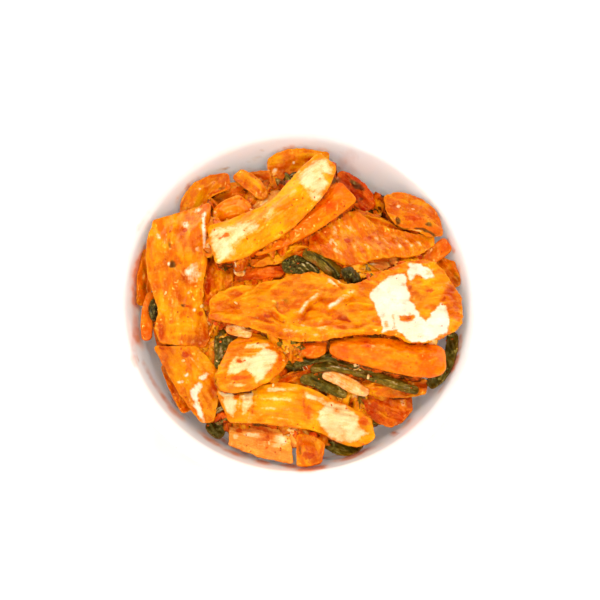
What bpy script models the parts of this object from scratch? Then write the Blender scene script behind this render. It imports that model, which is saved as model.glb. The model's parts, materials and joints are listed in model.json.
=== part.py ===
"""Kimchi heaped in a round white bowl, in metres, +Z up, standing on its foot at the origin.

The bowl is a turned shape. The heap is a low bed of mixed small pieces with the larger cuts laid on
it one after another, each a slab that settles on whatever already lies below it.
"""

import math
from dataclasses import dataclass

import bmesh
import bpy
import numpy as np
from mathutils import Vector, noise

MM = 0.001  # one millimetre in metres: all the sizes below are in millimetres

# The bowl
BOWL_HEIGHT = 55.0
RIM_OUTER_RADIUS = 65.0
RIM_INNER_RADIUS = 60.0
WALL_FLARE = 0.40  # inward run of the wall for each millimetre down
WALL_THINNING = 1.4  # how much thinner the wall is at its knuckle than at its rim
LIP_DEPTH = 2.6
KNUCKLE_RADIUS = 32.0
FLOOR_HEIGHT = 6.0
FOOT_OUTER_RADIUS = 30.0
FOOT_WIDTH = 3.4
FOOT_HEIGHT = 3.0
BOWL_STEPS = 48

# The bed of small pieces under the large cuts
BED_EDGE_DROP = 14.5  # how far below the rim it meets the wall
BED_CROWN_DROP = 3.0  # how far below the rim its middle lies
BED_FLATNESS = 2.4  # 2 gives an even dome, more a flatter middle with steeper sides
BED_LUMP = 1.6
BED_LUMP_SIZE = 11.0
BED_STEPS = 44
BED_TOP_RINGS = 8
BED_SIDE_RINGS = 6
HOLLOW_HEADING = 58.0  # degrees round the bowl, where the bed sinks beside the wall
HOLLOW_REACH = 52.0
HOLLOW_SIZE = 9.0
HOLLOW_DEPTH = 9.0

# How the cuts lie
GAP = 0.35  # clear air between one piece and the next
CELL = 0.5  # cell size of the height map they settle on
SIDE_CLEARANCE = 2  # cells by which a settled piece is widened on that map
EDGE_FACE = 0.45  # height of a slab's side, as a share of its thickness


class Lie:
    """How stiffly a cut lies on what is under it: smoothing passes for each settling step."""

    LIMP = 1
    SOFT = 4
    FIRM = 14
    STIFF = 40


@dataclass
class Cut:
    """One cut piece: a slab lofted through stations (x, y, width) along its grain."""

    name: str
    colour: tuple
    stations: tuple
    across: tuple  # headings of the cross lines at the first and the last station, in degrees
    thickness: float
    lie: int = Lie.SOFT
    arch: float = 0.0  # how far the middle stands up over the two long sides
    ruffle: float = 0.0  # height of the waves along the two long sides
    cell: float = 4.6  # rough size of its facets
    roughness: float = 0.28


STEM = (0.93, 0.72, 0.36)
LEAF = (0.86, 0.42, 0.05)
AMBER = (0.80, 0.30, 0.03)
CARROT = (0.95, 0.33, 0.02)
RED = (0.66, 0.09, 0.01)
BROWN = (0.42, 0.15, 0.04)
PALE = (0.90, 0.55, 0.34)
GREEN = (0.10, 0.11, 0.02)
OLIVE = (0.30, 0.24, 0.04)

# From the lowest to the topmost.
CUTS = (
    Cut("leaf_by_left_wall", BROWN,
        ((-51.2, 19.0, 3.2), (-52.7, 10.5, 4.2), (-53.0, 1.0, 3.5)), (-20, 0), 1.6),
    Cut("carrot_strip_left", CARROT,
        ((-50.4, 4.0, 2.0), (-51.7, -4.0, 3.0), (-51.8, -11.5, 2.0)), (0, 0), 2.0),
    Cut("green_tuft_left", GREEN,
        ((-48.4, 1.2, 2.5), (-48.4, -2.3, 4.2), (-48.2, -5.6, 2.5)), (0, 0), 2.2, cell=3.0),
    Cut("leaf_under_corner", AMBER,
        ((-42.5, -20.0, 7.5), (-39.3, -28.0, 8.0), (-36.0, -35.6, 6.5)), (20, 30), 1.8),
    Cut("green_tuft_front", GREEN,
        ((-29.5, -40.5, 3.0), (-28.0, -42.4, 4.6), (-25.8, -44.8, 2.5)), (30, 50), 2.0, cell=3.0),
    Cut("green_curl_front", GREEN,
        ((8.0, -45.2, 2.2), (11.0, -48.2, 3.0), (15.4, -50.2, 3.0), (19.0, -49.6, 2.8),
         (21.9, -47.4, 1.8)), (47, 125), 1.6, cell=3.4),
    Cut("stem_thumb_front", AMBER,
        ((0.4, -51.2, 9.4), (4.2, -51.4, 9.4), (8.4, -52.2, 6.0)), (-90, -100), 5.0, Lie.FIRM, 0.8,
        cell=3.0),
    Cut("stem_front", PALE,
        ((-22.6, -44.8, 6.8), (-15.0, -46.4, 10.2), (-7.5, -48.6, 10.2), (-2.0, -51.0, 7.6)),
        (-96, -84), 3.0, Lie.SOFT, 1.2, 0.5),
    Cut("green_arc_by_wall", GREEN,
        ((53.2, -10.6, 2.4), (52.9, -16.4, 3.0), (51.0, -21.8, 3.0), (48.2, -26.0, 3.4),
         (45.0, -28.6, 2.6)), (5, -48), 1.6, cell=3.8),
    Cut("leaf_by_right_wall", BROWN,
        ((48.8, 15.6, 3.8), (52.0, 13.3, 4.8), (54.0, 9.8, 3.4), (54.7, 6.8, 2.2)), (38, 8), 1.6,
        cell=3.4),
    Cut("carrot_baton_right", CARROT,
        ((45.3, 15.6, 3.8), (49.0, 18.6, 4.2), (51.9, 21.2, 4.0)), (-48, -58), 3.4, Lie.STIFF),
    Cut("leaf_red", RED,
        ((22.6, -34.9, 6.0), (27.6, -36.2, 11.0), (33.4, -36.0, 10.8), (38.8, -33.6, 5.6)),
        (-74, -84), 2.0, Lie.SOFT, 0.0, 0.9, cell=3.8),
    Cut("leaf_amber_front", AMBER,
        ((22.6, -28.4, 6.0), (30.5, -28.4, 7.6), (38.0, -29.0, 6.6), (43.6, -29.6, 3.8)),
        (-90, -94), 1.6),
    Cut("leaf_brown_front", BROWN,
        ((-6.0, -29.2, 3.0), (0.0, -27.4, 4.6), (6.0, -26.0, 3.6)), (100, 96), 1.6, cell=3.8),
    Cut("leaf_dark_front", OLIVE,
        ((1.8, -27.6, 1.8), (6.5, -27.6, 4.6), (12.0, -30.2, 3.2), (16.4, -32.6, 1.4)), (62, 52),
        1.3, cell=3.4),
    Cut("onion_front", PALE,
        ((9.2, -26.2, 1.8), (14.0, -27.2, 3.2), (19.4, -30.0, 3.4), (23.6, -32.0, 1.6)), (62, 52),
        1.6, cell=3.4),
    Cut("chive_long", GREEN,
        ((5.0, -24.4, 1.6), (13.0, -23.2, 2.2), (22.0, -25.0, 2.2), (31.0, -28.2, 2.2),
         (40.6, -31.2, 1.8)), (96, 66), 1.4, cell=4.2),
    Cut("chive_short", GREEN,
        ((-0.5, -22.8, 1.5), (5.0, -20.8, 2.1), (10.0, -20.0, 2.2), (15.0, -21.2, 2.1),
         (20.4, -23.2, 1.5)), (116, 64), 1.4, cell=3.6),
    Cut("carrot_chip", CARROT,
        ((2.0, -17.2, 4.4), (5.5, -17.5, 6.0), (9.2, -17.0, 4.0)), (-80, -94), 3.2, Lie.FIRM,
        cell=3.4),
    Cut("carrot_slab", CARROT,
        ((11.6, -17.1, 4.4), (15.5, -17.8, 7.2), (24.0, -19.0, 8.6), (33.0, -20.4, 10.2),
         (41.0, -21.4, 11.0), (47.2, -21.8, 9.6), (49.4, -21.6, 5.6)), (-90, -86), 5.2, Lie.STIFF,
        0.9),
    Cut("leaf_dark_back", GREEN,
        ((27.4, 36.4, 2.8), (28.8, 33.8, 4.6), (30.0, 30.8, 2.8)), (10, -8), 1.6, cell=3.2),
    Cut("pepper_skin", RED,
        ((13.8, 47.0, 6.4), (18.0, 44.8, 8.0), (22.2, 40.6, 7.6), (25.4, 36.0, 4.6)), (64, 32), 2.0,
        Lie.SOFT, 0.0, 0.7, cell=3.6),
    Cut("leaf_back", AMBER,
        ((-9.8, 49.8, 5.6), (-5.2, 50.6, 9.6), (0.0, 52.2, 7.4), (5.0, 53.0, 4.8),
         (10.6, 53.2, 3.4)), (96, 86), 2.2, Lie.SOFT, 0.6, 0.7, cell=3.8),
    Cut("leaf_shadow_back", BROWN,
        ((-29.4, 37.2, 3.4), (-25.6, 38.8, 4.6), (-21.2, 40.4, 4.6), (-17.0, 39.8, 3.4)), (100, 88),
        1.4, cell=3.8),
    Cut("green_fold_back", GREEN,
        ((-4.6, 43.6, 2.6), (-1.5, 45.3, 4.2), (1.8, 47.0, 2.4)), (114, 112), 1.8, cell=3.0),
    Cut("leaf_curl_left", LEAF,
        ((-36.6, 31.2, 8.2), (-36.2, 36.8, 7.8), (-33.2, 41.0, 6.6), (-28.6, 43.2, 5.8),
         (-24.2, 44.4, 4.8)), (178, 102), 2.6, Lie.SOFT, 0.8),
    Cut("leaf_brown_back", BROWN,
        ((-18.6, 45.6, 3.8), (-14.0, 46.2, 5.0), (-9.8, 46.2, 4.4)), (92, 88), 1.4, cell=3.8),
    Cut("onion_back", PALE,
        ((-14.4, 31.6, 5.0), (-10.0, 35.8, 6.0), (-4.8, 39.6, 4.0)), (132, 130), 1.8, cell=3.8),
    Cut("leaf_triangle_back", LEAF,
        ((-20.8, 47.2, 3.4), (-17.1, 44.6, 4.6), (-13.7, 40.8, 4.0), (-11.7, 37.9, 2.2)), (42, 20),
        1.8, cell=3.4),
    Cut("carrot_block", CARROT,
        ((-28.6, 30.0, 5.0), (-24.6, 30.9, 9.4), (-19.6, 32.1, 11.0), (-16.2, 31.8, 5.0)),
        (95, 101), 5.0, Lie.STIFF, 0.6, cell=4.0),
    Cut("leaf_wedge_left", LEAF,
        ((-27.8, 16.0, 6.6), (-27.2, 10.0, 8.4), (-28.0, 3.6, 8.0), (-28.8, -1.6, 5.0)), (0, -8), 2.0,
        Lie.SOFT, 0.5),
    Cut("carrot_bit_left", CARROT,
        ((-30.6, -17.4, 3.0), (-29.0, -20.6, 4.4), (-27.4, -23.4, 3.0)), (10, 10), 2.4, Lie.FIRM,
        cell=3.2),
    Cut("pepper_strip", RED,
        ((-21.0, 8.6, 2.6), (-13.0, 10.2, 4.0), (-5.0, 9.8, 2.6)), (90, 84), 1.6),
    Cut("leaf_fold_middle", LEAF,
        ((-16.0, 13.2, 3.0), (-9.0, 15.8, 6.2), (-2.0, 16.9, 5.6), (4.2, 17.8, 3.0)), (110, 96),
        1.8, Lie.SOFT, 0.6, 0.6),
    Cut("green_leaf_middle", GREEN,
        ((-4.4, 11.2, 3.2), (1.0, 11.8, 6.0), (7.6, 9.6, 3.6)), (100, 70), 1.8, cell=3.6),
    Cut("scallion_middle", OLIVE,
        ((2.5, 15.4, 2.6), (8.0, 13.8, 5.0), (13.0, 9.6, 4.5), (16.8, 5.6, 2.4)), (80, 42), 1.8,
        Lie.SOFT, 0.7, cell=3.6),
    Cut("green_dome_middle", GREEN,
        ((17.0, 9.8, 3.2), (18.7, 6.8, 5.0), (19.6, 4.0, 3.2)), (16, 0), 2.6, Lie.SOFT, 0.8,
        cell=3.0),
    Cut("onion_middle", OLIVE,
        ((23.6, 12.2, 2.2), (28.0, 13.0, 4.0), (32.0, 13.7, 2.0)), (96, 94), 1.6, cell=3.4),
    Cut("leaf_strip_back", AMBER,
        ((18.6, 34.2, 3.4), (23.6, 31.6, 5.2), (30.0, 28.8, 5.4), (37.0, 26.0, 4.4),
         (41.8, 24.4, 2.6)), (60, 66), 1.6),
    Cut("leaf_under_fan", AMBER,
        ((25.0, 15.6, 2.6), (31.0, 16.8, 3.6), (38.0, 17.0, 3.8), (44.0, 18.4, 2.4)), (95, 95), 1.6),
    Cut("leaf_fan_back", AMBER,
        ((4.6, 18.8, 5.0), (9.0, 20.2, 11.0), (15.0, 21.5, 18.2), (20.0, 22.2, 20.6),
         (26.0, 21.2, 13.6), (33.0, 20.8, 10.6), (40.0, 20.0, 7.8), (46.8, 21.6, 2.8)), (-94, -86),
        1.8, Lie.LIMP, 0.0, 0.6),
    Cut("carrot_plank", CARROT,
        ((-14.6, 16.4, 3.2), (-6.5, 21.2, 7.0), (2.0, 26.6, 8.8), (10.0, 32.6, 9.0),
         (17.4, 38.2, 7.6)), (136, 130), 3.6, Lie.FIRM),
    Cut("leaf_curl_right", AMBER,
        ((31.2, 35.4, 6.0), (34.9, 34.6, 10.2), (40.2, 31.8, 11.2), (44.9, 28.0, 8.8),
         (47.8, 23.6, 4.2)), (98, 12), 2.2, Lie.SOFT, 1.6, 0.6, cell=3.8),
    Cut("stem_long", STEM,
        ((-28.4, 17.9, 11.6), (-21.5, 19.4, 12.4), (-14.5, 22.8, 11.6), (-7.2, 26.8, 10.8),
         (-0.6, 33.4, 10.8), (5.8, 41.4, 10.4), (10.0, 48.0, 6.6)), (104, 140), 4.0, Lie.FIRM, 1.2),
    Cut("leaf_left", LEAF,
        ((-39.8, 30.9, 19.4), (-41.2, 20.5, 20.4), (-41.2, 9.0, 18.6), (-40.0, -2.6, 13.6),
         (-38.8, -9.5, 18.6), (-39.2, -14.4, 14.0)), (14, -8), 3.0, Lie.SOFT, 0.0, 0.5),
    Cut("leaf_corner", LEAF,
        ((-41.3, -16.0, 14.0), (-35.7, -23.8, 16.0), (-33.3, -30.6, 12.6), (-31.3, -37.2, 7.0),
         (-30.3, -40.6, 3.4)), (-4, 12), 2.6, Lie.SOFT, 0.0, 0.4),
    Cut("scallion_leaf_left", GREEN,
        ((-24.6, -10.2, 4.4), (-24.2, -14.0, 7.0), (-24.9, -18.2, 5.0), (-26.2, -23.2, 2.4)),
        (-10, 0), 1.6, cell=3.6),
    Cut("stem_front_long", STEM,
        ((-24.6, -36.3, 11.0), (-14.5, -36.5, 11.0), (-5.0, -36.2, 14.2), (4.5, -37.4, 14.0),
         (12.5, -40.8, 14.4), (19.2, -42.8, 13.2), (25.2, -43.6, 5.6)), (-68, -76), 3.2, Lie.SOFT,
        0.8, 0.3),
    Cut("stem_diamond", STEM,
        ((-26.2, -28.5, 5.4), (-22.5, -26.1, 12.0), (-17.0, -22.2, 18.4), (-10.5, -18.9, 15.4),
         (-7.2, -17.2, 11.0)), (-80, -50), 3.2, Lie.FIRM, 0.7),
    Cut("onion_left", PALE,
        ((-23.4, -9.6, 3.6), (-19.6, -9.8, 6.0), (-15.6, -11.6, 4.0)), (82, 72), 2.0, cell=3.4),
    Cut("leaf_large", STEM,
        ((-29.4, -3.6, 6.0), (-24.0, -2.8, 11.8), (-15.5, -3.2, 15.4), (-7.0, -4.0, 19.8),
         (1.5, -4.0, 23.8), (10.0, -4.2, 22.8), (17.0, -5.6, 16.6), (23.0, -4.0, 18.4),
         (31.0, -1.8, 22.4), (39.0, -1.8, 29.8), (46.4, -0.8, 28.6), (52.4, -2.8, 17.8),
         (56.0, -4.0, 8.6)), (-90, -90), 2.6, Lie.SOFT, 0.0, 0.8),
)


def catmull(values, at):
    """A smooth curve through evenly spaced values, read at positions from 0 to 1."""
    known = np.asarray(values, dtype=float)
    known = known.reshape(len(known), -1)
    padded = np.vstack([2 * known[0] - known[1], known, 2 * known[-1] - known[-2]])
    place = np.asarray(at) * (len(known) - 1)
    first = np.clip(place.astype(int), 0, len(known) - 2)
    part = (place - first)[:, None]
    before, start, end, after = (padded[first + step] for step in range(4))
    slope_in = (end - before) / 2
    slope_out = (after - start) / 2
    return (
        start * (2 * part**3 - 3 * part**2 + 1) + slope_in * (part**3 - 2 * part**2 + part)
        + end * (3 * part**2 - 2 * part**3) + slope_out * (part**3 - part**2)
    )


def arc(centre, radius, start, stop, steps):
    """Points (r, z) on an arc round a centre, between two angles in degrees."""
    turns = np.radians(np.linspace(start, stop, steps + 1))
    return [(centre[0] + radius * math.cos(t), centre[1] + radius * math.sin(t)) for t in turns]


def knuckle():
    """Centre (r, z) of the inner curve between wall and floor, and the angle where it starts."""
    flare = math.atan(WALL_FLARE)
    centre_z = FLOOR_HEIGHT + KNUCKLE_RADIUS
    meet_z = centre_z - KNUCKLE_RADIUS * math.sin(flare)
    meet_r = RIM_INNER_RADIUS - WALL_FLARE * (BOWL_HEIGHT - meet_z)
    return (meet_r - KNUCKLE_RADIUS * math.cos(flare), centre_z), -math.degrees(flare)


def inner_radius(height):
    """Inner radius of the bowl at a height above the table."""
    centre, _ = knuckle()
    wall = RIM_INNER_RADIUS - WALL_FLARE * (BOWL_HEIGHT - height)
    drop = np.clip(centre[1] - height, 0, KNUCKLE_RADIUS)
    curve = centre[0] + np.sqrt(np.maximum(KNUCKLE_RADIUS**2 - drop**2, 0))
    return np.minimum(wall, curve)


def inner_height(radius):
    """Height of the bowl's inside at a distance from its axis."""
    centre, _ = knuckle()
    wall = BOWL_HEIGHT - (RIM_INNER_RADIUS - radius) / WALL_FLARE
    reach = np.clip(radius - centre[0], 0, KNUCKLE_RADIUS * 0.999)
    curve = centre[1] - np.sqrt(KNUCKLE_RADIUS**2 - reach**2)
    return np.maximum(wall, curve)


def bowl_profile():
    """The bowl's outline (r, z), from the floor's middle up the inside and down the outside."""
    centre, start = knuckle()
    inside = [(0.0, FLOOR_HEIGHT)] + arc(centre, KNUCKLE_RADIUS, -90, start, 5)
    lip_middle = (RIM_INNER_RADIUS + RIM_OUTER_RADIUS) / 2
    half = (RIM_OUTER_RADIUS - RIM_INNER_RADIUS) / 2
    lip_z = BOWL_HEIGHT - LIP_DEPTH
    lip = [
        (lip_middle - half * math.cos(t), lip_z + LIP_DEPTH * math.sin(t))
        for t in np.linspace(0, math.pi, 7)
    ]
    lip[0] = (RIM_INNER_RADIUS - WALL_FLARE * LIP_DEPTH, lip_z)
    wall = RIM_OUTER_RADIUS - RIM_INNER_RADIUS - WALL_THINNING
    outside = arc(centre, KNUCKLE_RADIUS + wall, start, -64, 4)
    foot_top = outside[-1][1] - 1.0
    foot = [
        (FOOT_OUTER_RADIUS + 0.8, foot_top),
        (FOOT_OUTER_RADIUS, 0.0),
        (FOOT_OUTER_RADIUS - FOOT_WIDTH, 0.0),
        (FOOT_OUTER_RADIUS - FOOT_WIDTH - 0.6, FOOT_HEIGHT),
        (0.0, FOOT_HEIGHT),
    ]
    return inside + lip + outside + foot


def make_object(name, mesh, colour, roughness, smooth_angle):
    """A named object in the dish's collection, shaded smooth, with its own material."""
    mesh.shade_smooth()
    mesh.set_sharp_from_angle(angle=math.radians(smooth_angle))
    obj = bpy.data.objects.new(name, mesh)
    bpy.data.collections["kimchi_bowl"].objects.link(obj)
    material = bpy.data.materials.new(name)
    material.use_nodes = True
    shader = material.node_tree.nodes["Principled BSDF"]
    shader.inputs["Base Color"].default_value = (*colour, 1.0)
    shader.inputs["Roughness"].default_value = roughness
    shader.inputs["Metallic"].default_value = 0.0
    mesh.materials.append(material)
    return obj


def make_bowl():
    """The bowl, turned from its outline by a Screw modifier."""
    outline = bowl_profile()
    mesh = bpy.data.meshes.new("bowl")
    points = [(r * MM, 0.0, z * MM) for r, z in outline]
    mesh.from_pydata(points, [(i, i + 1) for i in range(len(points) - 1)], [])
    bowl = make_object("bowl", mesh, (0.92, 0.91, 0.89), 0.12, 40)
    turn = bowl.modifiers.new("turn", "SCREW")
    turn.steps = BOWL_STEPS
    turn.render_steps = BOWL_STEPS
    turn.use_merge_vertices = True
    turn.merge_threshold = 0.0001
    turn.use_smooth_shade = True


def bed_edge_height(x, y):
    """Height at which the bed meets the wall, in the direction of a point."""
    heading = math.degrees(math.atan2(y, x)) - HOLLOW_HEADING
    heading = (heading + 180) % 360 - 180
    width = math.degrees(HOLLOW_SIZE / HOLLOW_REACH)
    return BOWL_HEIGHT - BED_EDGE_DROP - 0.8 * HOLLOW_DEPTH * math.exp(-((heading / width) ** 2))


def bed_height(x, y):
    """Height of the bed's uneven top."""
    reach = math.hypot(x, y)
    edge_height = bed_edge_height(x, y)
    edge = float(inner_radius(edge_height))
    crown = BOWL_HEIGHT - BED_CROWN_DROP
    rise = max(0.0, 1 - (reach / edge) ** BED_FLATNESS)
    height = edge_height + (crown - edge_height) * rise
    lump = noise.noise(Vector((x, y, 0.0)) / BED_LUMP_SIZE)
    heading = math.radians(HOLLOW_HEADING)
    hollow_x = HOLLOW_REACH * math.cos(heading)
    hollow_y = HOLLOW_REACH * math.sin(heading)
    away = math.hypot(x - hollow_x, y - hollow_y) / HOLLOW_SIZE
    dip = HOLLOW_DEPTH * math.exp(-(away**2)) * min(1.0, 3 * rise)
    return height + BED_LUMP * 2 * lump * min(1.0, 4 * rise) - dip


def make_bed():
    """The bed: a turned blank whose top is made uneven and whose sides follow the bowl."""
    rings = BED_TOP_RINGS + BED_SIDE_RINGS
    bed = bmesh.new()
    ring_of = bed.verts.layers.int.new("ring")
    blank = [bed.verts.new((i / rings, 0, 0)) for i in range(rings + 1)]
    edges = [bed.edges.new(pair) for pair in zip(blank, blank[1:])]
    for ring, vert in enumerate(blank):
        vert[ring_of] = ring
    bmesh.ops.spin(
        bed, geom=blank + edges, cent=(0, 0, 0), axis=(0, 0, 1), angle=math.tau, steps=BED_STEPS,
        use_merge=True,
    )
    for vert in bed.verts:
        ring = vert[ring_of]
        heading = math.atan2(vert.co.y, vert.co.x) if ring else 0.0
        x, y = math.cos(heading), math.sin(heading)
        edge_z = bed_edge_height(x, y)
        edge_r = float(inner_radius(edge_z)) - GAP * 1.3
        if ring <= BED_TOP_RINGS:
            reach = edge_r * (ring / BED_TOP_RINGS) ** 0.85
            vert.co = (reach * x, reach * y, bed_height(reach * x, reach * y))
        else:
            down = (ring - BED_TOP_RINGS) / BED_SIDE_RINGS
            height = edge_z + (FLOOR_HEIGHT + GAP - edge_z) * math.sin(down * math.pi / 2)
            reach = float(inner_radius(height - GAP)) - GAP * 1.3 if down < 1 else 0.0
            vert.co = (reach * x, reach * y, height)
    bmesh.ops.remove_doubles(bed, verts=bed.verts, dist=0.01)
    return finish_solid(bed, "kimchi_bed", AMBER, 0.35)


def finish_solid(work, name, colour, roughness):
    """Turns a closed bmesh in millimetres into an object with its faces outward."""
    bmesh.ops.triangulate(work, faces=work.faces)
    bmesh.ops.recalc_face_normals(work, faces=work.faces)
    bmesh.ops.scale(work, vec=(MM, MM, MM), verts=work.verts)
    mesh = bpy.data.meshes.new(name)
    work.to_mesh(mesh)
    work.free()
    return make_object(name, mesh, colour, roughness, 50)


def samples_of(points, triangles, spacing):
    """Spots spread over flat triangles: the corners of each one's triangle, and their weights."""
    corners = []
    weights = []
    for triangle in triangles:
        a, b, c = points[list(triangle)]
        longest = max(np.linalg.norm(a - b), np.linalg.norm(b - c), np.linalg.norm(c - a))
        count = int(math.ceil(longest / spacing))
        for i in range(count + 1):
            for j in range(count + 1 - i):
                corners.append(triangle)
                weights.append((i / count, j / count, (count - i - j) / count))
    return np.array(corners), np.array(weights)


class Relief:
    """A height map of what already lies in the bowl."""

    def __init__(self):
        reach = RIM_OUTER_RADIUS + 2
        self.start = -reach
        self.count = int(2 * reach / CELL) + 1
        line = self.start + CELL * np.arange(self.count)
        x, y = np.meshgrid(line, line, indexing="ij")
        radius = np.hypot(x, y) + CELL
        self.height = np.where(radius < RIM_INNER_RADIUS, inner_height(radius), BOWL_HEIGHT)
        inside = np.argwhere(radius < inner_radius(BOWL_HEIGHT - BED_EDGE_DROP))
        for i, j in inside:
            self.height[i, j] = max(self.height[i, j], bed_height(line[i], line[j]) + 0.3)

    def cells(self, spots):
        """Indices of the cells that hold spots (x, y)."""
        place = np.round((spots - self.start) / CELL).astype(int)
        return np.clip(place, 0, self.count - 1)

    def at(self, spots):
        """Height under each spot."""
        place = self.cells(spots)
        return self.height[place[:, 0], place[:, 1]]

    def raise_to(self, spots, heights):
        """Lifts the map to a settled piece's top, over its footprint and a little beside it."""
        place = self.cells(spots)
        for i in range(-SIDE_CLEARANCE, SIDE_CLEARANCE + 1):
            for j in range(-SIDE_CLEARANCE, SIDE_CLEARANCE + 1):
                cells = np.clip(place + (i, j), 0, self.count - 1)
                np.maximum.at(self.height, (cells[:, 0], cells[:, 1]), heights)


class Slab:
    """A cut's flat blank: a grid lofted through its stations, and where each vertex lies on it."""

    def __init__(self, cut):
        self.cut = cut
        course = np.array(cut.stations, dtype=float)
        length = np.sum(np.linalg.norm(np.diff(course[:, :2], axis=0), axis=1))
        along = max(3, round(length / cut.cell))
        across = max(2, round(course[:, 2].max() / cut.cell))
        self.mesh = bmesh.new()
        bmesh.ops.create_grid(self.mesh, x_segments=along, y_segments=across, size=0.5)
        bmesh.ops.triangulate(self.mesh, faces=self.mesh.faces)
        self.mesh.verts.ensure_lookup_table()
        self.grain = np.array([v.co.x for v in self.mesh.verts]) + 0.5
        self.side = np.array([v.co.y for v in self.mesh.verts]) * 2
        station = catmull(cut.stations, self.grain)
        heading = np.radians(cut.across[0] + (cut.across[1] - cut.across[0]) * self.grain)
        width = np.maximum(station[:, 2], 1.2) / 2 * self.side
        self.points = station[:, :2] + width[:, None] * np.stack(
            [np.cos(heading), np.sin(heading)], axis=1
        )
        self.triangles = [tuple(v.index for v in f.verts) for f in self.mesh.faces]
        self.links = [[e.other_vert(v).index for e in v.link_edges] for v in self.mesh.verts]
        self.corners, self.weights = samples_of(self.points, self.triangles, CELL * 0.9)
        self.spots = np.einsum("ijk,ij->ik", self.points[self.corners], self.weights)

    def smoothed(self, heights):
        """Each height moved towards the mean of its neighbours."""
        mean = np.array([heights[near].mean() for near in self.links])
        return 0.4 * heights + 0.6 * mean

    def lift(self, heights, need, share):
        """Raises vertices until their facets reach the needed height under each spot."""
        short = need - np.sum(heights[self.corners] * self.weights, axis=1)
        low = short > 0
        if not low.any():
            return heights
        if share:
            weights = self.weights[low]
            push = short[low, None] * weights / np.sum(weights**2, axis=1, keepdims=True)
        else:
            push = np.repeat(short[low, None], 3, axis=1)
        raised = np.zeros_like(heights)
        np.maximum.at(raised, self.corners[low].ravel(), push.ravel())
        return heights + raised

    def settle(self, relief):
        """Heights of the underside once the piece has come to lie on the relief."""
        need = relief.at(self.spots) + GAP
        heights = np.full(len(self.points), need.max())
        for _ in range(60):
            heights = heights - 0.35
            for _ in range(self.cut.lie):
                heights = self.smoothed(heights)
            heights = self.lift(heights, need, share=True)
        for _ in range(self.cut.lie):
            heights = self.smoothed(heights)
        return self.lift(heights, need, share=False)

    def shape(self):
        """Extra height of the underside, and the thickness above it, at each vertex."""
        cut = self.cut
        rim = np.maximum(np.abs(self.side), np.abs(2 * self.grain - 1)) > 0.999
        bulge = cut.arch * (1 - self.side**2)
        wave = np.sin(self.grain * len(cut.stations) * 2.4 + self.side)
        bulge = bulge + cut.ruffle * (1 + wave) * self.side**2
        thickness = cut.thickness * np.where(rim, EDGE_FACE, 1.0)
        return bulge, thickness

    def build(self, relief):
        """Settles the piece, closes it as a solid and adds it to the relief."""
        bulge, thickness = self.shape()
        low = self.settle(relief) + bulge
        high = low + thickness
        under = list(self.mesh.verts)
        made = bmesh.ops.extrude_face_region(self.mesh, geom=list(self.mesh.faces))
        upper = {tuple(v.co): v for v in made["geom"] if isinstance(v, bmesh.types.BMVert)}
        for vert, point, low_z, high_z in zip(under, self.points, low, high):
            top = upper[tuple(vert.co)]
            vert.co = (*point, low_z)
            top.co = (*point, high_z)
        relief.raise_to(self.spots, np.sum(high[self.corners] * self.weights, axis=1))
        return finish_solid(self.mesh, self.cut.name, self.cut.colour, self.cut.roughness)


def clear_scene():
    """Removes the objects that the file holds, and makes the dish's own collection."""
    for obj in list(bpy.data.objects):
        bpy.data.objects.remove(obj, do_unlink=True)
    dish = bpy.data.collections.new("kimchi_bowl")
    bpy.context.scene.collection.children.link(dish)


def main():
    """Makes the bowl, the bed and the cuts, from the lowest to the topmost."""
    clear_scene()
    make_bowl()
    make_bed()
    relief = Relief()
    for cut in CUTS:
        Slab(cut).build(relief)


main()
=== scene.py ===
"""Kimchi heaped in a round white bowl: the looks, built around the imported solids.

Each packed cut is skinned again as a fine, ragged, wet slice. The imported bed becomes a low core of
pulp with many small scraps on it, and the bowl is turned afresh with a fine glaze. Lengths are in
millimetres until a mesh is made, when they become metres.
"""

import json
import logging
import math
from dataclasses import dataclass
from enum import Enum
from typing import Protocol

import bpy
import numpy as np
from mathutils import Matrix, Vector, geometry
from mathutils.bvhtree import BVHTree

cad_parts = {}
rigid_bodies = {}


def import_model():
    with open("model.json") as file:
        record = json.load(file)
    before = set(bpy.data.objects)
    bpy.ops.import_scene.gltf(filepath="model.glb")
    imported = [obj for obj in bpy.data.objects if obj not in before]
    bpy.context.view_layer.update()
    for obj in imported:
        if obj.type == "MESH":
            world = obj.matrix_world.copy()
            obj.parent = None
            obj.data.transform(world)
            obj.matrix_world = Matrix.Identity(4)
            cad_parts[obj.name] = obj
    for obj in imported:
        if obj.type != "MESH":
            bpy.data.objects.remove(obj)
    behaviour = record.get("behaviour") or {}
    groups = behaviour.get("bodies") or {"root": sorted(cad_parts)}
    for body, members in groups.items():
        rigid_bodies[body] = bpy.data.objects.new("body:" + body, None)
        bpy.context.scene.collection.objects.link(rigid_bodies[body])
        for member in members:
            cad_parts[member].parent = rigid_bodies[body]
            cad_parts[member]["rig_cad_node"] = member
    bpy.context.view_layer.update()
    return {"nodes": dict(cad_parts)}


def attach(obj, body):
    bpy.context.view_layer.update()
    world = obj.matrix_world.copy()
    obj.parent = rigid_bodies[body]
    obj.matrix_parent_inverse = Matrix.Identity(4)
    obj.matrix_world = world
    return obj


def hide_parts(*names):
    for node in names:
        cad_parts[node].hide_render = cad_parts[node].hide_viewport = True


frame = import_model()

MM = 0.001
LOG = logging.getLogger("kimchi")

Colour = tuple[float, float, float]
Four = tuple[float, float, float, float]

RIM_TOP = 55.0  # height of the bowl's rim, in mm
WALL_REACH = 58.6  # how far food may reach from the middle at the rim's height, in mm
WALL_LEAN = 0.4  # how far the inner wall runs outward for each mm of height
QUICK_STEP, FINE_STEP = 0.75, 0.42  # distance between a cut's points, in mm
CUT_SHARE, CORE_SHARE = 23, 11  # one point in so many tells the bowl where the food lies
DOWN = Vector((0, 0, -1))
SKY = 200.0  # height that things are dropped from, in mm


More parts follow.
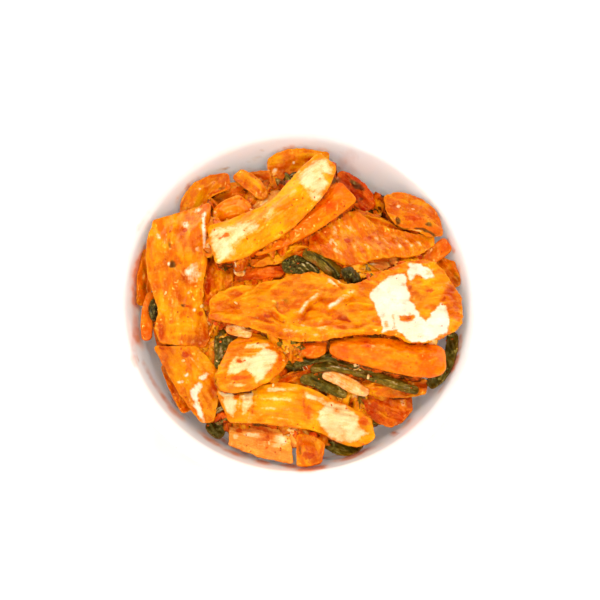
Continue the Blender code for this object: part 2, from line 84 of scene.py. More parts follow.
def srgb(red: int, green: int, blue: int) -> Colour:
    """A display colour as linear light.

    Args:
        red: Its red, 0 to 255.
        green: Its green.
        blue: Its blue.

    Returns:
        The colour.
    """
    return tuple(
        part / 12.92 if part <= 0.04045 else ((part + 0.055) / 1.055) ** 2.4
        for part in (red / 255, green / 255, blue / 255)
    )


# ---------------- smooth noise


def wave_noise(points: np.ndarray, seed: int) -> np.ndarray:
    """Smooth gradient noise.

    Args:
        points: Places (n, 2), one noise cell to the unit.
        seed: Which noise.

    Returns:
        Values (n,) from about -1 to 1.
    """
    cell = np.floor(points).astype(np.int64)
    inside = points - cell
    fade = inside**3 * (inside * (inside * 6 - 15) + 10)
    total = np.zeros(len(points))
    for i in (0, 1):
        for j in (0, 1):
            key = (cell[:, 0] + i) * 73856093 ^ (cell[:, 1] + j) * 19349663 ^ (seed + 7) * 83492791
            key = (key ^ (key >> 13)) * 1274126177
            turn = ((key ^ (key >> 16)) & 0xFFFF) * (math.tau / 65536)
            slope = np.cos(turn) * (inside[:, 0] - i) + np.sin(turn) * (inside[:, 1] - j)
            share = (fade[:, 0] if i else 1 - fade[:, 0]) * (fade[:, 1] if j else 1 - fade[:, 1])
            total += share * slope
    return total * 1.5


def cloud_noise(points: np.ndarray, seed: int, layers: int = 3) -> np.ndarray:
    """Noise with finer noise on it.

    Args:
        points: Places (n, 2), one cell of the coarsest noise to the unit.
        seed: Which noise.
        layers: How many sizes of noise.

    Returns:
        Values (n,) from about -1 to 1.
    """
    total = np.zeros(len(points))
    strength = 1.0
    for layer in range(layers):
        total += strength * wave_noise(points * 2.03**layer, seed + 31 * layer)
        strength *= 0.5
    return total


def ridge_noise(points: np.ndarray, seed: int) -> np.ndarray:
    """Noise that stands up in narrow crests, from 0 to 1."""
    return np.clip(1 - np.abs(wave_noise(points, seed)) * 1.9, 0, 1) ** 1.5


def smooth_step(values: np.ndarray, low: float, high: float) -> np.ndarray:
    """0 below low, 1 above high, and an even curve between."""
    part = np.clip((values - low) / (high - low), 0, 1)
    return part * part * (3 - 2 * part)


# ---------------- shader maths


class Value:
    """One output of a node, which arithmetic turns into Math nodes."""

    def __init__(self, graph: "Graph", socket: bpy.types.NodeSocket) -> None:
        """Wraps a socket of a graph."""
        self.graph = graph
        self.socket = socket

    def math(self, operation: str, other: "Value | float") -> "Value":
        """A Math node on this value and another."""
        return self.graph.node("ShaderNodeMath", {"operation": operation}, {0: self, 1: other})[0]

    def __add__(self, other: "Value | float") -> "Value":
        """The sum."""
        return self.math("ADD", other)

    __radd__ = __add__

    def __mul__(self, other: "Value | float") -> "Value":
        """The product."""
        return self.math("MULTIPLY", other)

    __rmul__ = __mul__

    def __sub__(self, other: "Value | float") -> "Value":
        """The difference."""
        return self.math("SUBTRACT", other)

    def __rsub__(self, other: "Value | float") -> "Value":
        """The difference from another value."""
        return (self * -1.0).math("ADD", other)

    def step(self, low: float, high: float) -> "Value":
        """An even curve from 0 to 1.

        Args:
            low: Where it leaves 0.
            high: Where it reaches 1.

        Returns:
            The result.
        """
        settings = {"interpolation_type": "SMOOTHSTEP"}
        inputs = {"Value": self, "From Min": low, "From Max": high}
        return self.graph.node("ShaderNodeMapRange", settings, inputs)[0]


class Outputs:
    """The outputs of a new node, by place or by name."""

    def __init__(self, graph: "Graph", node: bpy.types.Node) -> None:
        """Keeps the graph and the node."""
        self.graph = graph
        self.node = node

    def __getitem__(self, key: "int | str") -> Value:
        """One output as a value."""
        return Value(self.graph, self.node.outputs[key])


class Graph:
    """A material's node tree, with its Principled shader."""

    def __init__(self, name: str) -> None:
        """Makes the material.

        Args:
            name: The material's name.
        """
        self.material = bpy.data.materials.new(name)
        self.material.use_nodes = True
        self.tree = self.material.node_tree
        self.shader = self.tree.nodes["Principled BSDF"]

    def node(self, kind: str, settings: dict, inputs: dict) -> Outputs:
        """Adds a node.

        Args:
            kind: The node's type.
            settings: Its properties, set first.
            inputs: A value, a link or a colour for each input, by place or by name.

        Returns:
            The node's outputs.
        """
        made = self.tree.nodes.new(kind)
        for key, setting in settings.items():
            setattr(made, key, setting)
        for key, given in inputs.items():
            self.feed(made.inputs[key], given)
        return Outputs(self, made)

    def feed(self, socket: bpy.types.NodeSocket, given: "Value | float | tuple") -> None:
        """Links or sets one input.

        Args:
            socket: The input.
            given: A value to link, or a number or colour to set.
        """
        if isinstance(given, Value):
            self.tree.links.new(given.socket, socket)
        elif socket.type == "RGBA" and len(given) == 3:
            socket.default_value = (*given, 1.0)
        else:
            socket.default_value = given

    def attribute(self, name: str) -> Outputs:
        """A mesh attribute's outputs."""
        return self.node("ShaderNodeAttribute", {"attribute_name": name}, {})

    def mix(self, factor: "Value | float", first: "Value | Colour", second: "Value | Colour",
            blend: str = "MIX") -> Value:
        """Blends two colours.

        Args:
            factor: The second colour's share.
            first: The first colour.
            second: The second colour.
            blend: How they blend.

        Returns:
            The blend.
        """
        settings = {"data_type": "RGBA", "blend_type": blend}
        inputs = {0: factor, 6: first, 7: second}
        return self.node("ShaderNodeMix", settings, inputs)[2]

    def stretch(self, place: Value, scale: tuple[float, float, float]) -> Value:
        """A place with its axes scaled."""
        return self.node("ShaderNodeVectorMath", {"operation": "MULTIPLY"}, {0: place, 1: scale})[0]

    def noise(self, place: Value, scale: float, detail: float = 2.0, rough: float = 0.5) -> Value:
        """A noise texture's value, spread to reach from 0 to 1."""
        inputs = {"Vector": place, "Scale": scale, "Detail": detail, "Roughness": rough}
        return self.node("ShaderNodeTexNoise", {"normalize": True}, inputs)["Fac"].step(0.22, 0.78)

    def cells(self, place: Value, scale: float) -> Value:
        """How far each place is from the middle of its cell."""
        return self.node("ShaderNodeTexVoronoi", {}, {"Vector": place, "Scale": scale})["Distance"]

    def grey(self, shade: Value) -> Value:
        """A grey of the given shade."""
        return self.node("ShaderNodeCombineColor", {}, {0: shade, 1: shade, 2: shade})[0]

    def spot(self) -> Value:
        """Where the piece's surface is, in metres."""
        return self.node("ShaderNodeTexCoord", {}, {})["Object"]

    def bump(self, height: Value, depth: float) -> Value:
        """A normal from a height, with the depth in millimetres of one unit of it."""
        inputs = {"Height": height, "Distance": depth * MM, "Strength": 1.0}
        return self.node("ShaderNodeBump", {}, inputs)["Normal"]

    def finish(self, **inputs: "Value | float | tuple") -> bpy.types.Material:
        """Feeds the shader.

        Args:
            inputs: What goes into each of its inputs, named with underscores for spaces.

        Returns:
            The material.
        """
        for key, given in inputs.items():
            self.feed(self.shader.inputs[key.replace("_", " ")], given)
        return self.material


# ---------------- finishes


class Finish(Protocol):
    """What every finish of a piece has."""

    name: str
    slot: str

    def make(self) -> bpy.types.Material:
        """Builds the material."""


@dataclass(frozen=True)
class WetCut:
    """The finish of a pickled cut: its flesh, what the brine and the chili did to it, and painted light and
    shade on its relief.
    """

    name: str
    slot: str
    body: Colour
    pale: Colour
    yellow: Colour
    stain: Colour
    # the flesh's dark colour, used for its dark parts and also as painted shade in hollows and in gaps
    dark: Colour
    streak: float = 0.35  # how strongly fibres show along the grain
    speckle: float = 0.3  # how much ground chili clings to it
    edge: Colour = srgb(236, 110, 4)
    fleck: Colour = srgb(206, 40, 2)
    roughness: float = 0.16
    through: float = 0.15  # share of light that goes through the flesh
    grit: float = 0.30  # height of the small swellings, in mm
    edging: float = 0.4  # how much deeper the cut edges are coloured

    def make(self) -> bpy.types.Material:
        """Builds the material: the flesh's colour, and a wet surface over it.

        Returns:
            The material.
        """
        graph = Graph(self.name)
        lay = graph.attribute("lay")["Vector"]
        rise = graph.attribute("rise")["Fac"]
        flat = graph.stretch(lay, (1.0, 1.0, 0.0))
        wet = graph.noise(flat, 0.24, 2.0)
        soak = wet.step(0.36, 0.56)
        beads = graph.noise(graph.stretch(lay, (0.8, 1.1, 0.0)), 0.42, 1.0, 0.5)
        ripple = graph.noise(flat, 1.3, 2.0)
        height = beads * (0.7 + soak * 0.5) + ripple * (1.0 - soak) * 0.2
        return graph.finish(
            Base_Color=self.colour(graph, lay, flat, rise), Roughness=self.roughness - soak * 0.09,
            Normal=graph.bump(height, self.grit), IOR=1.5, Specular_Tint=(1.0, 0.8, 0.2, 1.0),
            Coat_Weight=wet.step(0.5, 0.8) * 0.1, Coat_Roughness=0.05,
            Subsurface_Weight=self.through, Subsurface_Radius=(1.0, 0.42, 0.10),
            Subsurface_Scale=1.4 * MM,
        )

    def colour(self, graph: Graph, lay: Value, flat: Value, rise: Value) -> Value:
        """Lays the tints, the stains, the dark parts with painted shade in the hollows, the rim, the fibres
        and the flecks over the flesh; raised flesh is painted lighter and yellower.

        Args:
            graph: The material's nodes.
            lay: Where a point is: along and across the grain, and in from the rim, in mm.
            flat: The same without the last.
            rise: How far the flesh stands up there.

        Returns:
            The colour.
        """
        tint = graph.attribute("tint")
        parts = graph.node("ShaderNodeSeparateColor", {}, {0: tint["Color"]})
        pale, yellow, stain = parts[0], parts[1], parts[2]
        fibres = graph.noise(graph.stretch(lay, (0.18, 1.7, 0.0)), 1.0, 3.0, 0.66)
        blotch = graph.noise(flat, 0.30, 5.0, 0.54)
        depth = graph.noise(flat, 0.13, 2.0)
        cloud = graph.noise(graph.stretch(lay, (0.6, 1.1, 0.0)), 0.36, 5.0, 0.56)
        fine = graph.noise(flat, 1.3, 4.0, 0.62)
        grain = graph.noise(flat, 2.3, 2.0, 0.7)
        drift = (blotch - 0.5) * 0.5 + (fine - 0.5) * 0.25
        streaks = (fibres - 0.5) * self.streak
        # Raised flesh (rise) is painted yellower here and lighter in the shade below, and hollows redder and
        # darker: painted light and shade of the relief.
        bright = yellow + (cloud - 0.5) * 1.1 + streaks + rise * 0.3
        colour = graph.mix(bright.step(0.0, 1.0), self.body, self.yellow)
        soaked = stain - (depth - 0.5) * 0.5 + drift * 1.2 - rise * 0.3
        colour = graph.mix(soaked.step(0.35, 0.95) * 0.85, colour, self.stain)
        bare = pale + drift * 0.9 + (cloud - 0.5) * 0.5 + streaks
        colour = graph.mix(bare.step(0.02, 0.60) * 0.9, colour, self.yellow)
        colour = graph.mix(bare.step(0.24, 1.0), colour, self.pale)
        film = stain + (cloud - 0.5) * 0.7 + (fine - 0.5) * 0.4
        colour = graph.mix(film.step(0.62, 0.80) * 0.8, colour, self.stain)
        # Dark parts, plus painted shade in the hollows of the relief.
        dark = tint["Alpha"] + (cloud - 0.5) * 0.5 - rise * 0.2
        colour = graph.mix(dark.step(0.28, 0.85), colour, self.dark)
        inside = graph.node("ShaderNodeSeparateXYZ", {}, {0: lay})[2].step(0.0, 0.8)
        colour = graph.mix((1.0 - inside) * self.edging, colour, self.edge)
        # shade: random tone of the fibres, blotches and grain, plus painted light on raised flesh.
        shade = streaks + (blotch - 0.5) * 0.3 + (grain - 0.5) * 0.5
        shade = shade + rise * 0.3 + (depth - 0.5) * 0.8 + 0.5
        colour = graph.mix(0.55, colour, graph.grey(shade), "SOFT_LIGHT")
        dots = graph.cells(flat, 1.25).step(0.30, 0.12)
        chosen = graph.noise(flat, 0.33, 2.0).step(0.90 - 0.3 * self.speckle, 1.0)
        return graph.mix(dots * chosen * (1.0 - pale) * 0.7, colour, self.fleck)


@dataclass(frozen=True)
class Glaze:
    """The bowl's white glaze, tinted near the food by a film that is partly sauce and partly painted warm
    bounce light and contact shade.
    """

    name: str = "bowl_glaze"
    slot: str = "bowl_glaze"
    white: Colour = (0.93, 0.895, 0.915)
    # film: colour of the sauce film near the food, which also stands for painted warm bounce light and
    # contact shade
    film: Colour = srgb(238, 150, 88)

    def make(self) -> bpy.types.Material:
        """Builds the material.

        Returns:
            The material.
        """
        graph = Graph(self.name)
        film = graph.attribute("film")["Fac"]
        place = graph.spot()
        cloud = graph.noise(place, 140.0, 3.0)
        # The film, sauce with painted bounce light and contact shade, tints the glaze near the food.
        mask = (film + (cloud - 0.5) * 0.2).step(0.05, 0.9)
        tone = graph.mix(graph.noise(place, 40.0, 2.0), self.white, (0.92, 0.88, 0.90))
        colour = graph.mix(mask * 0.85, tone, self.film)
        smear = graph.attribute("smear")
        colour = graph.mix(smear["Alpha"] + (cloud - 0.5) * smear["Alpha"], colour, smear["Color"])
        wave = graph.noise(place, 60.0, 1.0)
        return graph.finish(
            Base_Color=colour, Roughness=0.10 + 0.08 * cloud, Normal=graph.bump(wave, 0.05),
            Coat_Weight=0.25, Coat_Roughness=0.05, IOR=1.5, Subsurface_Weight=0.75,
            Subsurface_Radius=(1.0, 0.85, 0.75), Subsurface_Scale=9.0 * MM,
        )


@dataclass(frozen=True)
class Pulp:
    """The wet mash of chili paste and brine low in the heap; its deep tone is partly painted shade of the
    gaps.
    """

    name: str = "chili_pulp"
    slot: str = "chili"
    # deep: the paste's dark red-brown, made darker to stand for the shade in the gaps, so partly painted
    # shade
    deep: Colour = srgb(88, 26, 0)
    bright: Colour = srgb(206, 72, 0)

    def make(self) -> bpy.types.Material:
        """Builds the material.

        Returns:
            The material.
        """
        graph = Graph(self.name)
        place = graph.spot()
        lumps = graph.noise(place, 260.0, 4.0, 0.6)
        grains = graph.cells(place, 900.0)
        colour = graph.mix(lumps.step(0.36, 0.72), self.deep, self.bright)
        colour = graph.mix(grains.step(0.22, 0.0) * 0.4, colour, srgb(236, 120, 4))
        height = lumps * 2.0 + (1.0 - grains) * 0.5
        return graph.finish(
            Base_Color=colour, Roughness=0.12 + lumps * 0.12, Normal=graph.bump(height, 0.35),
            IOR=1.5, Specular_Tint=(1.0, 0.7, 0.1, 1.0), Subsurface_Weight=0.12,
            Subsurface_Radius=(1.0, 0.3, 0.1), Subsurface_Scale=1.5 * MM,
        )


@dataclass(frozen=True)
class Flake:
    """Dried chili, from orange-red to dark red, by each flake's own shade."""

    name: str = "chili_flake"
    slot: str = "chili"
    light: Colour = srgb(232, 84, 4)
    deep: Colour = srgb(178, 30, 0)

    def make(self) -> bpy.types.Material:
        """Builds the material.

        Returns:
            The material.
        """
        graph = Graph(self.name)
        own = graph.attribute("rise")["Fac"]
        place = graph.spot()
        skin = graph.noise(place, 2200.0, 2.0)
        colour = graph.mix(own, self.deep, self.light)
        colour = graph.mix((skin - 0.5) * 0.5, colour, srgb(250, 150, 60))
        return graph.finish(
            Base_Color=colour, Roughness=0.22 + skin * 0.2, Normal=graph.bump(skin, 0.06),
            IOR=1.4, Specular_Tint=(1.0, 0.6, 0.1, 1.0),
        )


@dataclass(frozen=True)
class Seed:
    """Chili seeds: cream, a little orange from the brine."""

    name: str = "chili_seed"
    slot: str = "onion"
    cream: Colour = srgb(255, 222, 150)
    amber: Colour = srgb(245, 160, 50)

    def make(self) -> bpy.types.Material:
        """Builds the material.

        Returns:
            The material.
        """
        graph = Graph(self.name)
        own = graph.attribute("rise")["Fac"]
        place = graph.spot()
        grain = graph.noise(place, 1500.0, 2.0)
        colour = graph.mix(own * 0.6 + grain * 0.4, self.cream, self.amber)
        return graph.finish(
            Base_Color=colour, Roughness=0.25 + grain * 0.1, Normal=graph.bump(grain, 0.05),
            Coat_Weight=0.5, Coat_Roughness=0.08,
        )


@dataclass(frozen=True)
class Tabletop:
    """The plain white surface under the bowl."""

    name: str = "tabletop"
    white: Colour = (0.985, 0.985, 0.985)

    def make(self) -> bpy.types.Material:
        """Builds the material.

        Returns:
            The material.
        """
        graph = Graph(self.name)
        place = graph.spot()
        tone = graph.mix(graph.noise(place, 8.0), self.white, (0.98, 0.98, 0.98))
        return graph.finish(Base_Color=tone, Roughness=0.9)


STEM = WetCut(
    "cabbage_stem", "cabbage_stem", body=srgb(224, 116, 0), pale=srgb(236, 212, 158),
    yellow=srgb(232, 148, 2), stain=srgb(216, 74, 0), dark=srgb(140, 70, 6), streak=0.12,
)
BLADE = WetCut(
    "cabbage_leaf", "cabbage_leaf", body=srgb(212, 88, 0), pale=srgb(240, 226, 202),
    yellow=srgb(228, 138, 2), stain=srgb(192, 48, 0), dark=srgb(96, 40, 2), streak=0.12,
    speckle=0.45, edge=srgb(240, 140, 8), through=0.2,
)
CARROT = WetCut(
    "carrot", "carrot", body=srgb(228, 94, 0), pale=srgb(240, 186, 104), yellow=srgb(234, 122, 0),
    stain=srgb(212, 58, 0), dark=srgb(130, 40, 2), streak=0.2, speckle=0.4, through=0.12,
)
ONION = WetCut(
    "onion", "onion", body=srgb(228, 132, 50), pale=srgb(244, 204, 156), yellow=srgb(236, 150, 40),
    stain=srgb(210, 72, 6), dark=srgb(130, 60, 14), streak=0.3, speckle=0.9, through=0.25,
)
# The greens' pale marks stand for the light glints along their wet ridges: painted highlights.
GREEN = WetCut(
    "greens", "greens", body=srgb(60, 50, 6), pale=srgb(210, 186, 140), yellow=srgb(112, 80, 8),
    stain=srgb(150, 56, 2), dark=srgb(24, 16, 4), streak=0.35, speckle=0.5, edge=srgb(110, 62, 4),
    roughness=0.11, through=0.04, grit=0.5,
)
CHILI = WetCut(
    "chili_skin", "chili", body=srgb(196, 52, 0), pale=srgb(236, 170, 130), yellow=srgb(226, 92, 4),
    stain=srgb(170, 20, 0), dark=srgb(96, 36, 12), streak=0.3, speckle=1.0, edge=srgb(212, 70, 2),
    roughness=0.14, through=0.10, grit=0.6,
)


GLAZE, PULP, FLAKE, SEED, TABLETOP = Glaze(), Pulp(), Flake(), Seed(), Tabletop()
FINISHES = (STEM, BLADE, CARROT, ONION, GREEN, CHILI, GLAZE, PULP, FLAKE, SEED, TABLETOP)
MATERIALS: dict[str, bpy.types.Material] = {}


# ---------------- meshes


def make_mesh(name: str, points: np.ndarray, faces: list, layers: dict, finish: Finish,
              replaced: tuple[str, ...] = ()) -> bpy.types.Object:
    """Turns points in millimetres into a smooth piece that rides on the dish.

    Args:
        name: The piece's name.
        points: Places (n, 3).
        faces: Corner indices of each face.
        layers: Values for each point, by attribute name: (n,), (n, 3) or (n, 4).
        finish: The finish.
        replaced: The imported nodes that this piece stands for.

    Returns:
        The piece.
    """
    mesh = bpy.data.meshes.new(name)
    mesh.from_pydata((np.asarray(points) * MM).tolist(), [], faces)
    mesh.validate()
    kinds = {1: ("FLOAT", "value"), 3: ("FLOAT_VECTOR", "vector"), 4: ("FLOAT_COLOR", "color")}
    for layer, values in layers.items():
        kind, key = kinds[1 if values.ndim == 1 else values.shape[1]]
        made = mesh.attributes.new(layer, kind, "POINT")
        made.data.foreach_set(key, np.ascontiguousarray(values, dtype=np.float32).ravel())
    mesh.shade_smooth()
    piece = bpy.data.objects.new(name, mesh)
    bpy.context.scene.collection.objects.link(piece)
    mesh.materials.append(MATERIALS[finish.name])
    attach(piece, "root")
    if replaced:
        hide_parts(*replaced)
    LOG.info("%s: %d points, %d faces", name, len(mesh.vertices), len(mesh.polygons))
    return piece


def node_mesh(node: str) -> tuple[np.ndarray, np.ndarray]:
    """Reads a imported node.

    Args:
        node: Its name.

    Returns:
        Its welded points (n, 3), in millimetres, and its triangles (m, 3).
    """
    mesh = frame["nodes"][node].data
    points = np.empty(len(mesh.vertices) * 3, np.float32)
    mesh.vertices.foreach_get("co", points)
    mesh.calc_loop_triangles()
    corners = np.empty(len(mesh.loop_triangles) * 3, np.int32)
    mesh.loop_triangles.foreach_get("vertices", corners)
    welded, index = np.unique(
        np.round(points.reshape(-1, 3).astype(float) / MM, 3), axis=0, return_inverse=True
    )
    return welded, index.ravel()[corners].reshape(-1, 3)


def mesh_points(piece: bpy.types.Object) -> np.ndarray:
    """Reads a piece.

    Args:
        piece: The piece.

    Returns:
        Its points (n, 3), in millimetres.
    """
    points = np.empty(len(piece.data.vertices) * 3, np.float32)
    piece.data.vertices.foreach_get("co", points)
    return points.reshape(-1, 3) / MM


def tree_of(pieces: list[bpy.types.Object]) -> BVHTree:
    """Joins pieces into one tree that rays can hit.

    Args:
        pieces: The pieces.

    Returns:
        The tree, in mm.
    """
    points, faces = [], []
    for piece in pieces:
        base = len(points)
        points.extend(mesh_points(piece).tolist())
        faces.extend([base + i for i in p.vertices] for p in piece.data.polygons)
    return BVHTree.FromPolygons(points, faces)


def smoothed(values: np.ndarray, edges: np.ndarray, passes: int) -> np.ndarray:
    """Moves values towards the mean of their neighbours.

    Args:
        values: One value for each point.
        edges: The pairs of points that are neighbours (m, 2).
        passes: How many times.

    Returns:
        The new values.
    """
    count = np.bincount(edges.ravel(), minlength=len(values))
    for _ in range(passes):
        total = np.bincount(edges[:, 0], values[edges[:, 1]], len(values))
        total += np.bincount(edges[:, 1], values[edges[:, 0]], len(values))
        values = 0.4 * values + 0.6 * total / np.maximum(count, 1)
    return values


def edges_of(triangles: np.ndarray) -> np.ndarray:
    """Each edge of the triangles once."""
    pairs = np.vstack([triangles[:, [0, 1]], triangles[:, [1, 2]], triangles[:, [2, 0]]])
    return np.unique(np.sort(pairs, axis=1), axis=0)


def inward_of(rim: np.ndarray) -> np.ndarray:
    """Finds which way is inside along an outline.

    Args:
        rim: The closed outline (n, 2).

    Returns:
        A unit vector at each place.
    """
    ahead = np.roll(rim, -1, axis=0) - np.roll(rim, 1, axis=0)
    inward = np.stack([-ahead[:, 1], ahead[:, 0]], axis=1)
    return inward / np.maximum(np.linalg.norm(inward, axis=1, keepdims=True), 1e-9)


def fill_in(rim: np.ndarray, places: np.ndarray) -> tuple[np.ndarray, np.ndarray, np.ndarray]:
    """Joins places into triangles.

    Args:
        rim: The closed outline (n, 2).
        places: The outline's own places, then those inside it (m, 2).

    Returns:
        The places, the triangles and their edges.
    """
    corners = [Vector(place) for place in places.tolist()]
    made = geometry.delaunay_2d_cdt(corners, [], [list(range(len(rim)))], 1, 1e-5)
    triangles = np.array([face for face in made[2] if len(face) == 3])
    return np.array([tuple(place) for place in made[0]]), triangles, edges_of(triangles)


def under_side(depth: np.ndarray) -> tuple[np.ndarray, np.ndarray]:
    """Numbers the points of a lower face that shares the rim of the upper one.

    Args:
        depth: Each place's distance from the rim.

    Returns:
        Which places lie on the rim, and the number of each place's point in the lower face.
    """
    count = len(depth)
    on_rim = depth < 1e-4
    return on_rim, np.where(on_rim, np.arange(count), count + np.cumsum(~on_rim) - 1)


class Slice:
    """A packed cut's outline and its two faces."""

    def __init__(self, node: str) -> None:
        """Reads the node: upper faces look up, lower faces down, and the sides are upright.

        Args:
            node: Its name.
        """
        points, triangles = node_mesh(node)
        a, b, c = (points[triangles[:, k]] for k in range(3))
        normal = np.cross(b - a, c - a)
        lean = normal[:, 2] / np.maximum(np.linalg.norm(normal, axis=1), 1e-9)
        corners = [tuple(p) for p in points]
        upper = triangles[lean > 0.02]
        self.top = BVHTree.FromPolygons(corners, upper.tolist())
        self.bottom = BVHTree.FromPolygons(corners, triangles[lean < -0.02].tolist())
        self.loop = points[self._rim(upper)][:, :2]
        low, high = points.min(0), points.max(0)
        self.middle = (low + high)[:2] / 2
        self.level = RIM_TOP

    @staticmethod
    def _rim(triangles: np.ndarray) -> list[int]:
        """Walks round the upper face.

        Args:
            triangles: The face's triangles.

        Returns:
            Its corners, in order.
        """
        onward = {}
        used = {(a, b) for t in triangles.tolist() for a, b in zip(t, t[1:] + t[:1])}
        for a, b in used:
            if (b, a) not in used:
                onward[a] = b
        start = next(iter(onward))
        loop = [start]
        while onward[loop[-1]] != start:
            loop.append(onward[loop[-1]])
        return loop

    def heights(self, face: BVHTree, places: np.ndarray, down: bool) -> np.ndarray:
        """Measures one face.

        Args:
            face: The face.
            places: Where to measure (n, 2).
            down: Whether to look down on it, or up at it.

        Returns:
            Its heights. Past its edge they are those of its nearest point.
        """
        start = SKY if down else -SKY
        aim = DOWN if down else -DOWN
        found = []
        for x, y in places:
            hit = face.ray_cast(Vector((x, y, start)), aim)[0]
            if hit is None:
                hit = face.find_nearest(Vector((x, y, self.level)))[0]
            else:
                self.level = hit.z
            found.append(hit.z)
        return np.array(found)


class Tint(Enum):
    """What a patch on a cut does to its colour: the place in the tint attribute."""

    PALE = 0
    YELLOW = 1
    STAIN = 2
    DARK = 3


@dataclass(frozen=True)
class Patch:
    """A blotch of colour on a cut, placed in millimetres from the middle of the cut's box."""

    tint: Tint
    x: float
    y: float
    length: float
    width: float
    turn: float = 0.0
    strength: float = 1.0

    def cover(self, places: np.ndarray, seed: int) -> np.ndarray:
        """How much of it lies over each place.

        Args:
            places: Places (n, 2), from the middle of the cut's box.
            seed: The cut's seed.

        Returns:
            Its cover, from 0 to 1.
        """
        turn = math.radians(self.turn)
        away = places - (self.x, self.y)
        along = (away[:, 0] * math.cos(turn) + away[:, 1] * math.sin(turn)) / self.length
        across = (away[:, 1] * math.cos(turn) - away[:, 0] * math.sin(turn)) / self.width
        ragged = cloud_noise(places / 3.6, seed + self.tint.value) * 0.34
        return np.clip(1.25 * (1.1 - np.hypot(along, across)) + ragged, 0, 1) * self.strength


@dataclass(frozen=True)
class Area:
    """A straight-edged blotch on a cut, by its corners in millimetres from the middle of the cut's box."""

    tint: Tint
    corners: tuple[tuple[float, float], ...]
    soft: float = 0.5  # half the width over which it fades out
    strength: float = 1.0

    def cover(self, places: np.ndarray, seed: int) -> np.ndarray:
        """How much of it lies over each place.

        Args:
            places: Places (n, 2), from the middle of the cut's box.
            seed: The cut's seed.

        Returns:
            Its cover, from 0 to 1.
        """
        rim = np.array(self.corners)
        away = distance_to(places, rim)
        within = np.where(inside_of(places, rim), away, -away)
        within += 0.55 * cloud_noise(places / 2.4, seed + self.tint.value)
        return smooth_step(within, -self.soft, self.soft) * self.strength


@dataclass(frozen=True)
class Vein:
    """A raised or sunken line on a cut, placed in millimetres from the middle of the cut's box."""

    tint: Tint
    x0: float
    y0: float
    x1: float
    y1: float
    bow: float  # how far its middle swings off the straight line, to the left
    width: float
    height: float  # below zero for a crease
    strength: float = 1.0

    def cover(self, places: np.ndarray, seed: int) -> np.ndarray:
        """How much of it lies over each place.

        Args:
            places: Places (n, 2), from the middle of the cut's box.
            seed: The cut's seed.

        Returns:
            Its cover, from 0 to 1.
        """
        run = np.array([self.x1 - self.x0, self.y1 - self.y0])
        length = np.linalg.norm(run)
        away = (places - (self.x0, self.y0)) @ np.array([[run[0], -run[1]], [run[1], run[0]]]) / length
        part = away[:, 0] / length
        wander = 0.4 * self.width * wave_noise(places / 2.4, seed + 3)
        aside = away[:, 1] - self.bow * 4 * part * (1 - part) + wander
        taper = smooth_step(part, -0.06, 0.16) * (1 - smooth_step(part, 0.80, 1.06))
        return np.exp(-((aside / self.width) ** 2)) * taper


@dataclass(frozen=True)
class Flesh:
    """How a kind of cut is shaped, in millimetres."""

    rib: float = 0.0  # height of the ribs along the grain
    rib_gap: float = 3.0
    crinkle: float = 0.05  # height of the small creases
    fold: float = 0.0  # height of the folds along the grain
    fold_length: float = 12.0
    fold_width: float = 4.2
    sway: float = 0.4  # height of the broad rise and fall
    blister: float = 0.1  # height of the small bumps
    blister_size: float = 1.6
    ragged: float = 0.4  # how far the outline is eaten away
    soften: float = 1.2  # rounding of the outline's corners
    round_over: float = 1.0  # rounding between the faces and the side
    crisp: float = 2.0  # how square the rounding is
    skin: float = 0.0  # thickness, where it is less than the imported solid's
    flare: float = 0.0  # how much the folds spread apart along the grain


class Kind(Enum):
    """The kinds of cut."""

    STEM = Flesh(
        rib=0.14, rib_gap=3.1, sway=0.4, blister=0.06, ragged=0.35, soften=0.3, round_over=0.7, crisp=3.8,
    )
    BLADE = Flesh(
        rib=0.0, crinkle=0.12, fold=1.4, sway=0.6, blister=0.2, blister_size=1.5, ragged=0.6, soften=0.45,
        round_over=0.45, skin=1.1,
    )
    CARROT = Flesh(
        rib=0.05, sway=0.25, blister=0.08, ragged=0.15, soften=0.5, round_over=0.8, crisp=3.2,
    )
    ONION = Flesh(
        rib=0.18, rib_gap=2.0, sway=0.4, blister=0.12, ragged=0.3, soften=0.6, round_over=0.6, skin=1.4,
    )
    GREEN = Flesh(
        rib=0.14, rib_gap=1.1, fold=0.4, fold_width=2.2, sway=0.4, blister=0.12, ragged=0.3,
        soften=0.7, round_over=0.5, skin=1.2,
    )
    PEPPER = Flesh(
        fold=0.7, sway=0.5, blister=0.3, blister_size=1.3, ragged=0.5, soften=0.7, round_over=0.6,
    )


